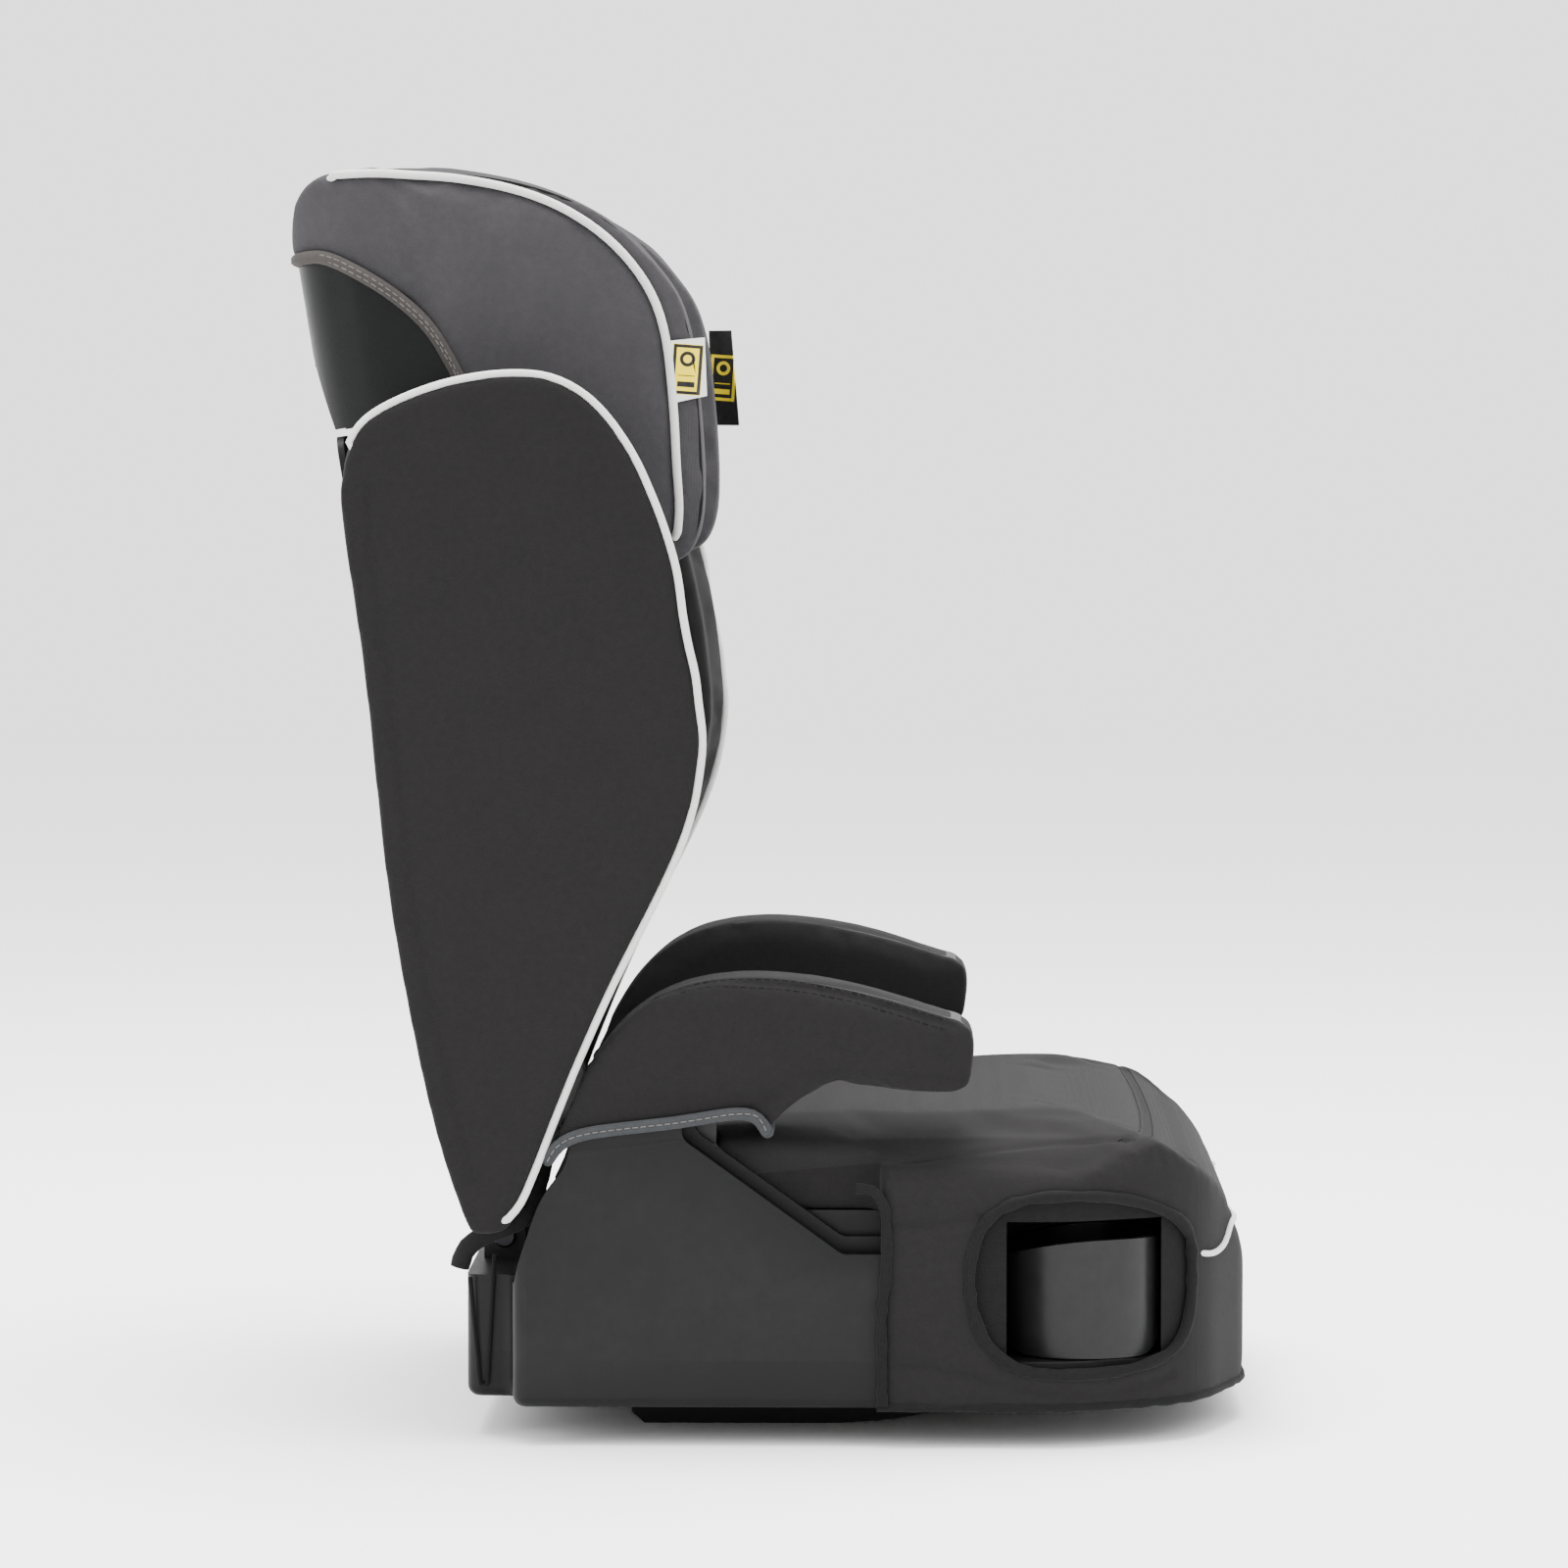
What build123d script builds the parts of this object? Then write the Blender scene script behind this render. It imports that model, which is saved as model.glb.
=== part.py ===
"""High-back booster seat: a moulded base with two drawer cup holders, a reclining backrest
and a headrest that slides up the backrest. Millimetres, +Z up, the child faces -Y, the child's right is -X."""

import os
from math import cos, radians, sin

from build123d import *

os.makedirs("parts", exist_ok=True)

# ---- driving dimensions --------------------------------------------------------------------------
BASE_HALF = 205  # outside of the base's side panels
FRONT_Y = -250  # front of the moulded base
SIDE_REAR_Y = 132  # rear edge of the side panels
TAIL_HALF, TAIL_Y = 168, 158  # the narrower tail behind the side panels
TRAY_Z = 20  # underside of the tray
SPLIT_Z = 45  # parting line of tray and shell
DECK_Z = 122  # seat deck
TAIL_Z = 85  # top of the tail, under the backrest
WALL = 3.5
FABRIC = 4  # a cover with its wadding

LIP_OUT, LIP_IN = 193, 187  # raised inner lip of the side panels
ARM_OUT, ARM_IN = 209, 160  # armrest sleeve
WING_OUT, WING_IN = 212, 168  # backrest side wings
HEAD_OUT, HEAD_IN = 150, 112  # headrest wings
HEAD_SHELL = 145  # outside of the plastic headrest shell

RECLINE = 9.2  # degrees the backrest leans back at rest
HINGE_Y, HINGE_Z = 142, 97
BAR_R = 6
RUNNING = 0.05  # radial clearance of a running fit
GAP = 0.3  # clearance between moving neighbours

PANEL_Y = 12  # front of the back panel, in the backrest's plane
PANEL_LOW, PANEL_HIGH = 20, 436
TONGUE_HALF, TONGUE_T = 40, 8.7
TONGUE_LOW, TONGUE_HIGH = 210, 530
HEAD_LOW, HEAD_HIGH = 340, 590
BOX_LOW = 440  # underside of the headrest's rear box
LATCH_Z = 240
NOTCH_PITCH, NOTCHES = 30, 6
ROD_Y, ROD_R = 4.35, 1.6
CHANNEL_HALF = 4.2  # slot in the tongue that the rod runs in

CUP_X, CUP_Y = -160, -166  # centre of the right cup well
CUP_R = 36.5
DRAWER_HALF = 40.5
DRAWER_Z, DRAWER_TOP = 46, 108
SCREW_R, HEAD_R = 2, 4

# The backrest's own plane: local x across, y to the rear, z up along the back.
LEAN = radians(RECLINE)
BACK = Plane(origin=(0, HINGE_Y, HINGE_Z), x_dir=(1, 0, 0), z_dir=(0, sin(LEAN), cos(LEAN)))
BACK_Y = Axis(BACK.origin, BACK.y_dir)


def save(builder, name):
    builder.part.label = name
    export_step(builder.part, f"parts/{name}.step")


def block(x, y, z, mode=Mode.ADD):
    """A box from its (low, high) extents along X, Y and Z."""
    with Locations(((x[0] + x[1]) / 2, (y[0] + y[1]) / 2, (z[0] + z[1]) / 2)):
        Box(x[1] - x[0], y[1] - y[0], z[1] - z[0], mode=mode)


def back_block(x, y, z, mode=Mode.ADD):
    """The same in the backrest's plane: across, rearward and up along the back."""
    with Locations(BACK):
        block(x, y, z, mode)


def shrunk(outline, inset, samples=72):
    """The outline moved inwards, redrawn as one smooth closed curve."""
    with BuildSketch() as stepped:
        add(outline.sketch)
        offset(amount=-inset, mode=Mode.REPLACE)
    edge = stepped.faces()[0].outer_wire()
    with BuildSketch() as smooth:
        with BuildLine():
            Spline(*[edge @ (step / samples) for step in range(samples)], periodic=True)
        make_face()
    return smooth


def slab(outline, x, inset=0.0, mode=Mode.ADD):
    """A side outline extruded across from x[0] to x[1]."""
    face = shrunk(outline, inset) if inset else outline
    with BuildSketch(Plane.YZ.offset(x[0])) as side:
        add(face.sketch)
    extrude(side.sketch, amount=x[1] - x[0], mode=mode)


def pin(start, end, radius, mode=Mode.ADD):
    """A round bar from start to end."""
    along = Vector(end) - Vector(start)
    with BuildSketch(Plane(origin=start, z_dir=along)) as section:
        Circle(radius)
    extrude(section.sketch, amount=along.length, mode=mode)


def back_pin(start, end, radius, mode=Mode.ADD):
    pin(BACK.from_local_coords(Vector(start)), BACK.from_local_coords(Vector(end)), radius, mode)


def screw(head, tip, in_back=False):
    """A pan-head screw: the head sits outside the start point."""
    place = (lambda p: BACK.from_local_coords(Vector(p))) if in_back else Vector
    start, end = place(head), place(tip)
    along = (end - start).normalized()
    pin(start - along * 2.5, start, HEAD_R)
    pin(start, end, SCREW_R)


# ---- outlines ------------------------------------------------------------------------------------
with BuildSketch() as base_plan:
    with BuildLine():
        FilletPolyline(
            (0, FRONT_Y),
            (100, FRONT_Y),
            (176, FRONT_Y + 28),
            (BASE_HALF, FRONT_Y + 92),
            (BASE_HALF, 0),
            radius=75,
        )
        FilletPolyline(
            (BASE_HALF, 0),
            (BASE_HALF, SIDE_REAR_Y),
            (TAIL_HALF, SIDE_REAR_Y),
            (TAIL_HALF, TAIL_Y),
            (0, TAIL_Y),
            radius=8,
        )
        mirror(about=Plane.YZ)
    make_face()

# Side outlines are drawn as (rearward Y, up Z) and laid on Plane.YZ.
with BuildSketch() as panel_side:
    with BuildLine():
        rear = Spline(
            (SIDE_REAR_Y, 74),
            (129, 95),
            (123, 113),
            (115, 132),
            (104, 148),
            (101, 160),
            (95, 172),
            tangents=((0, 1), (-0.6, 1)),
        )
        FilletPolyline(
            rear @ 1,
            (44, 176),
            (43, 161),
            (-40, 101),
            (-76, 101),
            (-104, 124),
            (FRONT_Y + 30, 124),
            radius=7,
        )
        Polyline((FRONT_Y + 30, 124), (FRONT_Y + 30, SPLIT_Z), (SIDE_REAR_Y, SPLIT_Z), rear @ 0)
    make_face()

with BuildSketch() as lip_side:
    with BuildLine():
        FilletPolyline(
            (95, 172),
            (44, 176),
            (34, 162),
            (-40, 109),
            (-76, 109),
            (-96, 124),
            (FRONT_Y + 34, 124),
            radius=7,
        )
        Polyline((FRONT_Y + 34, 124), (FRONT_Y + 34, SPLIT_Z), (110, SPLIT_Z), (110, 140), (95, 172))
    make_face()

with BuildSketch() as arm_side:
    with BuildLine():
        top = Spline(
            (112, 152),
            (104, 177),
            (90, 204),
            (75, 223),
            (54, 239),
            (28, 247),
            (4, 249.5),
            (-30, 246),
            (-62, 239),
            (-102, 227),
            tangents=((-0.1, 1), (-1, -0.3)),
        )
        nose = Spline(top @ 1, (-110, 217), (-109, 200), (-98, 187.5), tangents=((-1, -0.4), (1, -0.2)))
        under = Spline(
            nose @ 1, (-62, 189), (-42, 190), (-22, 183), (-8, 172), (-2, 164), tangents=((1, 0), (0.3, -1))
        )
        FilletPolyline(under @ 1, (2, 173), (15, 174), (46, 169), (92, 163), top @ 0, radius=3)
    make_face()

with BuildSketch() as wing_side:
    with BuildLine():
        rear = Spline(
            (153, 111),
            (166, 147),
            (182, 213),
            (196, 295),
            (208, 408),
            (217, 470),
            (215, 522),
            tangents=((0.4, 1), (-0.3, 1)),
        )
        crown = Spline(
            rear @ 1, (192, 543), (157, 555), (121, 558), (91, 546), tangents=((-0.3, 1), (-1, -0.8))
        )
        front = Spline(
            crown @ 1,
            (66, 512),
            (45, 455),
            (34, 395),
            (33, 355),
            (43, 316),
            (66, 268),
            (94, 210),
            (107, 178),
            (129, 122),
            tangents=((-1, -0.9), (0.4, -1)),
        )
        Spline(front @ 1, (138, 112), rear @ 0, tangents=((0.4, -1), (1, -0.1)))
    make_face()

with BuildSketch() as head_side:  # outside of the headrest cover
    with BuildLine():
        Spline(
            (212, 480),
            (227, 520),
            (241, 559),
            (250, 590),
            (254, 622),
            (251, 648),
            (236, 663),
            (200, 668),
            (160, 667),
            (123, 661),
            (88, 647),
            (60, 623),
            (41, 596),
            (32, 550),
            (29, 500),
            (32, 472),
            (46, 457),
            (90, 456),
            (150, 461),
            (200, 470),
            periodic=True,
        )
    make_face()

with BuildSketch() as head_core:  # outside of the shell and foam under it
    with BuildLine():
        Spline(
            (208, 484),
            (225.5, 520),
            (239.5, 559),
            (247.5, 590),
            (250, 614),
            (247, 642),
            (234, 658),
            (200, 663.5),
            (160, 662.5),
            (125, 656.5),
            (91, 642.5),
            (64, 620),
            (46, 594),
            (37, 550),
            (34, 500),
            (37, 476),
            (50, 462),
            (90, 461),
            (150, 466),
            (196, 474),
            periodic=True,
        )
    make_face()

with BuildSketch() as hood_cut:  # behind the hood's hem, where the shell is bare
    with BuildLine():
        hem_curve = Spline(
            (248, 618), (234, 619.5), (213, 610), (193, 597), (177, 582), (166, 564), (159, 548)
        )
        Polyline(hem_curve @ 1, (153, 500), (152, 440), (290, 440), (290, 618), hem_curve @ 0)
    make_face()

with BuildSketch() as seat_side:  # outside of the seat cover
    with BuildLine():
        top = Spline(
            (-252, 19),
            (-256, 42),
            (-257, 63),
            (-255, 84),
            (-250.5, 101),
            (-241, 126),
            (-222, 147.5),
            (-200, 162),
            (-172, 168),
            (-110, 167),
            (-40, 166),
            (40, 163),
            (112, 160),
            tangents=((-0.3, 1), (1, 0)),
        )
        Polyline(top @ 1, (112, 19), top @ 0)
    make_face()

with BuildSketch() as nose_cut:  # in front of the base's rounded nose
    with BuildLine():
        nose = Spline(
            (-251, 68), (-248, 86), (-239, 102), (-226, 114), (-205, 123), tangents=((0, 1), (1, 0))
        )
        Polyline(nose @ 1, (-205, 200), (-270, 200), (-270, 68), nose @ 0)
    make_face()

with BuildSketch() as cup_opening:  # oval hole in the skirt
    with BuildLine():
        Spline(
            (-106, 84),
            (-108, 104),
            (-115, 120),
            (-130, 129),
            (-154, 132),
            (-184, 130),
            (-208, 122),
            (-221, 110),
            (-223, 86),
            (-220, 64),
            (-210, 50),
            (-188, 42.5),
            (-157, 40),
            (-131, 43),
            (-113, 58),
            periodic=True,
        )
    make_face()

BOSSES = [(x, y) for x in (-60, 60) for y in (-190, -90, 40)] + [(-140, 110), (140, 110)]

# ==== base ========================================================================================
with BuildPart() as base_shell:
    with BuildSketch(Plane.XY.offset(SPLIT_Z)):
        add(base_plan.sketch)
    extrude(amount=TAIL_Z - SPLIT_Z)
    with BuildSketch(Plane.XY.offset(TAIL_Z)):
        add(base_plan.sketch)
        with Locations((0, -100)):
            Rectangle(2 * LIP_IN, 408, mode=Mode.INTERSECT)
    extrude(amount=DECK_Z - TAIL_Z)
    # side panels: a full outer part and, further in, a lip that stands a step higher
    for x_outer, x_lip in (
        ((-BASE_HALF, -LIP_OUT), (-LIP_OUT, -LIP_IN)),
        ((LIP_OUT, BASE_HALF), (LIP_IN, LIP_OUT)),
    ):
        slab(panel_side, x_outer)
        slab(lip_side, x_lip)
    # keep the panels inside the rounded plan, then hollow everything from below
    with BuildSketch(Plane.XY.offset(SPLIT_Z)):
        add(base_plan.sketch)
    extrude(amount=200, mode=Mode.INTERSECT)
    with BuildSketch(Plane.XY.offset(SPLIT_Z)):
        add(base_plan.sketch)
        offset(amount=-WALL, mode=Mode.REPLACE)
    extrude(amount=TAIL_Z - SPLIT_Z - WALL, mode=Mode.SUBTRACT)
    block(
        (-LIP_IN + WALL, LIP_IN - WALL),
        (FRONT_Y + 46, 104 - WALL),
        (SPLIT_Z, DECK_Z - WALL),
        mode=Mode.SUBTRACT,
    )
    for x in ((-BASE_HALF + WALL, -LIP_IN - WALL), (LIP_IN + WALL, BASE_HALF - WALL)):
        block(x, (FRONT_Y + 60, -30), (SPLIT_Z, 96), mode=Mode.SUBTRACT)
        block(x, (-30, 98), (SPLIT_Z, 98), mode=Mode.SUBTRACT)
        block(x, (50, 90), (90, 160), mode=Mode.SUBTRACT)
    # liners of the cup-holder pockets
    for side in (-1, 1):
        with BuildSketch(Plane.XY.offset(SPLIT_Z)):
            add(base_plan.sketch)
            with Locations((side * 150, CUP_Y)):
                Rectangle(110, 2 * (DRAWER_HALF + GAP + WALL), mode=Mode.INTERSECT)
        extrude(amount=DECK_Z - SPLIT_Z)
    slab(nose_cut, (-300, 300), mode=Mode.SUBTRACT)
    for x in ((-300, -95 - WALL), (95 + WALL, 300)):
        y = (CUP_Y - DRAWER_HALF - GAP, CUP_Y + DRAWER_HALF + GAP)
        block(x, y, (SPLIT_Z - 1, DECK_Z - WALL), mode=Mode.SUBTRACT)
    # ears for the hinge bar
    for x in (-98, -44, 44, 98):
        block((x - 4, x + 4), (HINGE_Y - 11, HINGE_Y + 11), (TAIL_Z - WALL, HINGE_Z))
        pin((x - 4, HINGE_Y, HINGE_Z), (x + 4, HINGE_Y, HINGE_Z), 11)
    pin((-120, HINGE_Y, HINGE_Z), (120, HINGE_Y, HINGE_Z), BAR_R, mode=Mode.SUBTRACT)
    # screw bosses, and ribs that stiffen the deck
    for x in (-60, 60):
        block((x - 1.5, x + 1.5), (FRONT_Y + 46, 104), (95, DECK_Z - 1))
    with BuildSketch(Plane.XY.offset(SPLIT_Z)):
        with Locations(*BOSSES):
            Circle(6)
    extrude(amount=TAIL_Z - SPLIT_Z - 1)
    for x in (-60, 60):
        for y in (-190, -90, 40):
            pin((x, y, TAIL_Z - 1), (x, y, DECK_Z - 1), 6)
    with BuildSketch(Plane.XY.offset(SPLIT_Z - 1)):
        with Locations(*BOSSES):
            Circle(SCREW_R)
    extrude(amount=20, mode=Mode.SUBTRACT)
    for x in (-LIP_IN, LIP_IN):
        for y in (40, 80):
            pin((x - 4, y, 140), (x + 4, y, 140), SCREW_R, mode=Mode.SUBTRACT)
save(base_shell, "base_shell")

with BuildPart() as base_tray:
    with BuildSketch(Plane.XY.offset(TRAY_Z)):
        add(base_plan.sketch)
    extrude(amount=SPLIT_Z - TRAY_Z)
    fillet(base_tray.faces().sort_by(Axis.Z)[0].edges(), radius=6)
    with BuildSketch(Plane.XY.offset(TRAY_Z + WALL)):
        add(base_plan.sketch)
        offset(amount=-WALL - 1, mode=Mode.REPLACE)
    extrude(amount=SPLIT_Z, mode=Mode.SUBTRACT)
    # hollow floors that the cup drawers slide on
    for side in (-1, 1):
        with BuildSketch(Plane.XY.offset(TRAY_Z + 2)):
            add(base_plan.sketch)
            offset(amount=-WALL, mode=Mode.REPLACE)
            with Locations((side * 150, CUP_Y)):
                Rectangle(110, 2 * (DRAWER_HALF + GAP + WALL), mode=Mode.INTERSECT)
        extrude(amount=SPLIT_Z - TRAY_Z - 2)
        block(
            sorted((side * 101, side * 160)),
            (CUP_Y - 38, CUP_Y + 38),
            (TRAY_Z + WALL, SPLIT_Z - WALL),
            mode=Mode.SUBTRACT,
        )
    # screw bosses and cross ribs
    for y in (-110, -20, 70):
        block((-BASE_HALF + 2, BASE_HALF - 2), (y - 1.5, y + 1.5), (TRAY_Z + 2, 38))
    with BuildSketch(Plane.XY.offset(TRAY_Z + 1)):
        with Locations(*BOSSES):
            Circle(6)
    extrude(amount=SPLIT_Z - TRAY_Z - 1)
    for x, y in BOSSES:
        pin((x, y, TRAY_Z - 1), (x, y, SPLIT_Z + 1), SCREW_R + 0.2, mode=Mode.SUBTRACT)
        pin((x, y, TRAY_Z - 1), (x, y, TRAY_Z + 3), HEAD_R + 0.3, mode=Mode.SUBTRACT)
save(base_tray, "base_tray")

with BuildPart() as base_screws:
    for x, y in BOSSES:
        screw((x, y, TRAY_Z + 3), (x, y, SPLIT_Z + 17))
save(base_screws, "base_screws")

with BuildSketch() as runner_side:
    with BuildLine():
        toe = Spline((10, 0), (-62, 2), (-100, 10), tangents=((-1, 0), (-1, 0.35)))
        Polyline(toe @ 1, (-104, TRAY_Z), (73, TRAY_Z), (73, 6), (66, 0), toe @ 0)
    make_face()
with BuildPart() as right_runner:
    slab(runner_side, (-126, -94))
save(right_runner, "right_runner")
with BuildPart() as left_runner:
    mirror(right_runner.part, about=Plane.YZ)
save(left_runner, "left_runner")

with BuildPart() as hinge_bar:
    pin((-106, HINGE_Y, HINGE_Z), (106, HINGE_Y, HINGE_Z), BAR_R - RUNNING)
    chamfer(hinge_bar.edges(), length=1)
save(hinge_bar, "hinge_bar")

# ---- armrests ------------------------------------------------------------------------------------
LEG_X, LEG_Y, LEG_Z = (-186.7, -168.7), (26, 94), (DECK_Z + 2, 186)
with BuildPart() as right_armrest_frame:
    slab(arm_side, (-ARM_OUT + FABRIC + GAP, -ARM_IN - FABRIC - GAP), inset=FABRIC + GAP)
    block((-300, 0), (-200, 200), (100, 180), mode=Mode.SUBTRACT)
    slab(arm_side, (-ARM_OUT + 7.5, -ARM_IN), inset=FABRIC + GAP + 3, mode=Mode.SUBTRACT)
    block((-204.7, -164.3), (4, 98), (180, 183))
    block(LEG_X, LEG_Y, LEG_Z)
    block(
        (LEG_X[0] + 3, LEG_X[1] + 1),
        (LEG_Y[0] + 3, LEG_Y[1] - 3),
        (LEG_Z[0] + 3, LEG_Z[1] - 6),
        mode=Mode.SUBTRACT,
    )
    for y in (40, 80):
        pin((-190, y, 140), (-160, y, 140), SCREW_R + 0.2, mode=Mode.SUBTRACT)
save(right_armrest_frame, "right_armrest_frame")
with BuildPart() as left_armrest_frame:
    mirror(right_armrest_frame.part, about=Plane.YZ)
save(left_armrest_frame, "left_armrest_frame")

with BuildPart() as armrest_screws:
    for side in (-1, 1):
        for y in (40, 80):
            screw((side * 183.7, y, 140), (side * 190.4, y, 140))
save(armrest_screws, "armrest_screws")

with BuildPart() as right_armrest_cover:
    slab(arm_side, (-ARM_OUT, -ARM_IN))
    slab(arm_side, (-ARM_OUT + FABRIC, -ARM_IN - FABRIC), inset=FABRIC, mode=Mode.SUBTRACT)
    # the sleeve is open below, where the frame's leg and the base's panel come up into it
    block((-ARM_OUT + FABRIC, -ARM_IN - FABRIC), (8, 107), (140, 186), mode=Mode.SUBTRACT)
save(right_armrest_cover, "right_armrest_cover")
with BuildPart() as left_armrest_cover:
    mirror(right_armrest_cover.part, about=Plane.YZ)
save(left_armrest_cover, "left_armrest_cover")

# ---- seat padding and its cover ------------------------------------------------------------------
SEAM_Z, SKIRT_Z, SKIRT_REAR_Y = 112, 19, -60
with BuildPart() as seat_foam:
    block((-182, 182), (-228, 90), (DECK_Z + GAP, 162))
    slab(seat_side, (-183, 183), inset=FABRIC + 1, mode=Mode.INTERSECT)
    with BuildSketch(Plane.XY.offset(DECK_Z)):
        add(base_plan.sketch)
        offset(amount=-1, mode=Mode.REPLACE)
    extrude(amount=60, mode=Mode.INTERSECT)
    for x in ((-LIP_IN, LEG_X[1] + GAP), (-LEG_X[1] - GAP, LIP_IN)):
        block(x, (LEG_Y[0] - GAP, 110), (DECK_Z, 200), mode=Mode.SUBTRACT)
save(seat_foam, "seat_foam")

with BuildPart() as seat_cover:
    with BuildSketch(Plane.XY.offset(SEAM_Z)):
        add(base_plan.sketch)
        offset(amount=FABRIC + GAP, mode=Mode.REPLACE)
        with Locations((0, SKIRT_REAR_Y - 200)):
            Rectangle(500, 400, mode=Mode.INTERSECT)
        with Locations((0, 5)):
            Rectangle(2 * LIP_IN - 1, 180)
    extrude(amount=60)
    slab(seat_side, (-230, 230), mode=Mode.INTERSECT)
    # the shoulders roll over towards the skirt
    with BuildSketch(Plane.XZ.offset(-120)):
        with BuildLine():
            roll = Spline(
                (-210, 122), (-205, 142), (-186, 158), (-150, 166), (-120, 169), tangents=((0, 1), (1, 0))
            )
            Polyline(roll @ 1, (-120, 240), (-300, 240), (-300, 122), roll @ 0)
        make_face()
        mirror(about=Plane.YZ)
    extrude(amount=400, mode=Mode.SUBTRACT)
    add(base_shell.part, mode=Mode.SUBTRACT)
    add(seat_foam.part, mode=Mode.SUBTRACT)
    block((-LIP_IN + WALL, LIP_IN - WALL), (-226, 100), (60, DECK_Z), mode=Mode.SUBTRACT)
    # cut out round the armrests' legs and above the cup drawers
    for x in ((-LIP_IN, LEG_X[1] + GAP), (-LEG_X[1] - GAP, LIP_IN)):
        block(x, (LEG_Y[0] - GAP, 110), (DECK_Z, 200), mode=Mode.SUBTRACT)
    for x in ((-BASE_HALF - 20, -100), (100, BASE_HALF + 20)):
        block(x, (-300, SKIRT_REAR_Y + 1), (60, DECK_Z + 1), mode=Mode.SUBTRACT)
save(seat_cover, "seat_cover")

with BuildPart() as cover_skirt:
    with BuildSketch(Plane.XY.offset(SKIRT_Z)):
        add(base_plan.sketch)
        offset(amount=FABRIC + GAP, mode=Mode.REPLACE)
        with BuildSketch(mode=Mode.SUBTRACT):
            add(base_plan.sketch)
            offset(amount=GAP / 2, mode=Mode.REPLACE)
        with Locations((0, SKIRT_REAR_Y - 200)):
            Rectangle(500, 400, mode=Mode.INTERSECT)
    extrude(amount=DECK_Z + 1 - SKIRT_Z)
    slab(seat_side, (-230, 230), mode=Mode.INTERSECT)
    block((-100, 100), (-300, -120), (SEAM_Z, 200), mode=Mode.SUBTRACT)
    for x in ((-BASE_HALF - 10, -120), (120, BASE_HALF + 10)):
        slab(cup_opening, x, mode=Mode.SUBTRACT)
save(cover_skirt, "cover_skirt")

with BuildPart() as right_cover_elastic:
    with BuildLine() as loop:
        FilletPolyline((-170, 156, 84), (-170, 151, 27), (-170, 147, 27), (-170, 143, 96), radius=1.5)
    with BuildSketch(Plane(origin=loop.line @ 0, z_dir=loop.line % 0)):
        Circle(1.2)
    sweep()
save(right_cover_elastic, "right_cover_elastic")
with BuildPart() as left_cover_elastic:
    mirror(right_cover_elastic.part, about=Plane.YZ)
save(left_cover_elastic, "left_cover_elastic")

# ==== cup holders =================================================================================
with BuildPart() as right_cup_holder:
    with BuildSketch(Plane.XY.offset(DRAWER_Z)):
        with Locations((CUP_X, CUP_Y)):
            Circle(DRAWER_HALF)
        with Locations((CUP_X + 29, CUP_Y)):
            Rectangle(58, 2 * DRAWER_HALF)
    extrude(amount=DRAWER_TOP - DRAWER_Z)
    # rounded lower corners, and a rim that slopes down to the rear
    with BuildSketch(Plane.YZ.offset(CUP_X - 50)):
        with BuildLine():
            FilletPolyline(
                (CUP_Y - DRAWER_HALF, 80),
                (CUP_Y - DRAWER_HALF, DRAWER_Z),
                (CUP_Y + DRAWER_HALF, DRAWER_Z),
                (CUP_Y + DRAWER_HALF, 80),
                radius=12,
            )
            rim = Spline(
                (CUP_Y + DRAWER_HALF, 97), (CUP_Y + 16, 105), (CUP_Y - 16, 108), (CUP_Y - DRAWER_HALF, 107)
            )
            Line((CUP_Y + DRAWER_HALF, 80), rim @ 0)
            Line((CUP_Y - DRAWER_HALF, 80), rim @ 1)
        make_face()
    extrude(amount=120, mode=Mode.INTERSECT)
    pin((CUP_X, CUP_Y, DRAWER_Z + 4), (CUP_X, CUP_Y, DRAWER_TOP + 2), CUP_R, mode=Mode.SUBTRACT)
    # pocket behind the well
    block(
        (CUP_X + 40, CUP_X + 55), (CUP_Y - 30, CUP_Y + 30), (DRAWER_Z + 4, DRAWER_TOP), mode=Mode.SUBTRACT
    )
save(right_cup_holder, "right_cup_holder")
with BuildPart() as left_cup_holder:
    mirror(right_cup_holder.part, about=Plane.YZ)
save(left_cup_holder, "left_cup_holder")

# ==== backrest ====================================================================================
RAIL_LOW, RAIL_HIGH = 60, 430
HOOK_X = (-80, -60)
HOOK_SCREWS = (35, 58)
RAIL_X = (TONGUE_HALF + GAP, 52)
RAIL_SCREWS = (90, 245, 400)
PAD_REAR = -3.3

with BuildPart() as back_shell:
    back_block((-150, 150), (PANEL_Y, PANEL_Y + WALL), (PANEL_LOW, PANEL_HIGH))
    fillet(back_shell.edges().filter_by(BACK_Y), radius=12)
    for x in (-110, -56, 56, 110):
        back_block((x - 1.5, x + 1.5), (PANEL_Y + WALL, 20), (PANEL_LOW + 12, 400))
    for z in (120, 260, 378):
        back_block((-110, 110), (PANEL_Y + WALL, 19), (z, z + 3))
    # steps forward to the two wing plates
    for side in (-1, 1):
        back_block(sorted((side * 146, side * 150)), (7, PANEL_Y + WALL), (45, 350))
        back_block(sorted((side * 146, side * (WING_OUT - 5))), (7, 7 + WALL), (45, 350))
    for x in ((-WING_OUT + 5, -WING_OUT + 8), (WING_OUT - 8, WING_OUT - 5)):
        slab(wing_side, x, inset=FABRIC + GAP)
    for side in (-1, 1):
        for z in HOOK_SCREWS:
            back_pin((side * 70, 0, z), (side * 70, 30, z), SCREW_R, mode=Mode.SUBTRACT)
        for z in RAIL_SCREWS:
            back_pin((side * 46, 0, z), (side * 46, 30, z), SCREW_R, mode=Mode.SUBTRACT)
save(back_shell, "back_shell")

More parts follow.
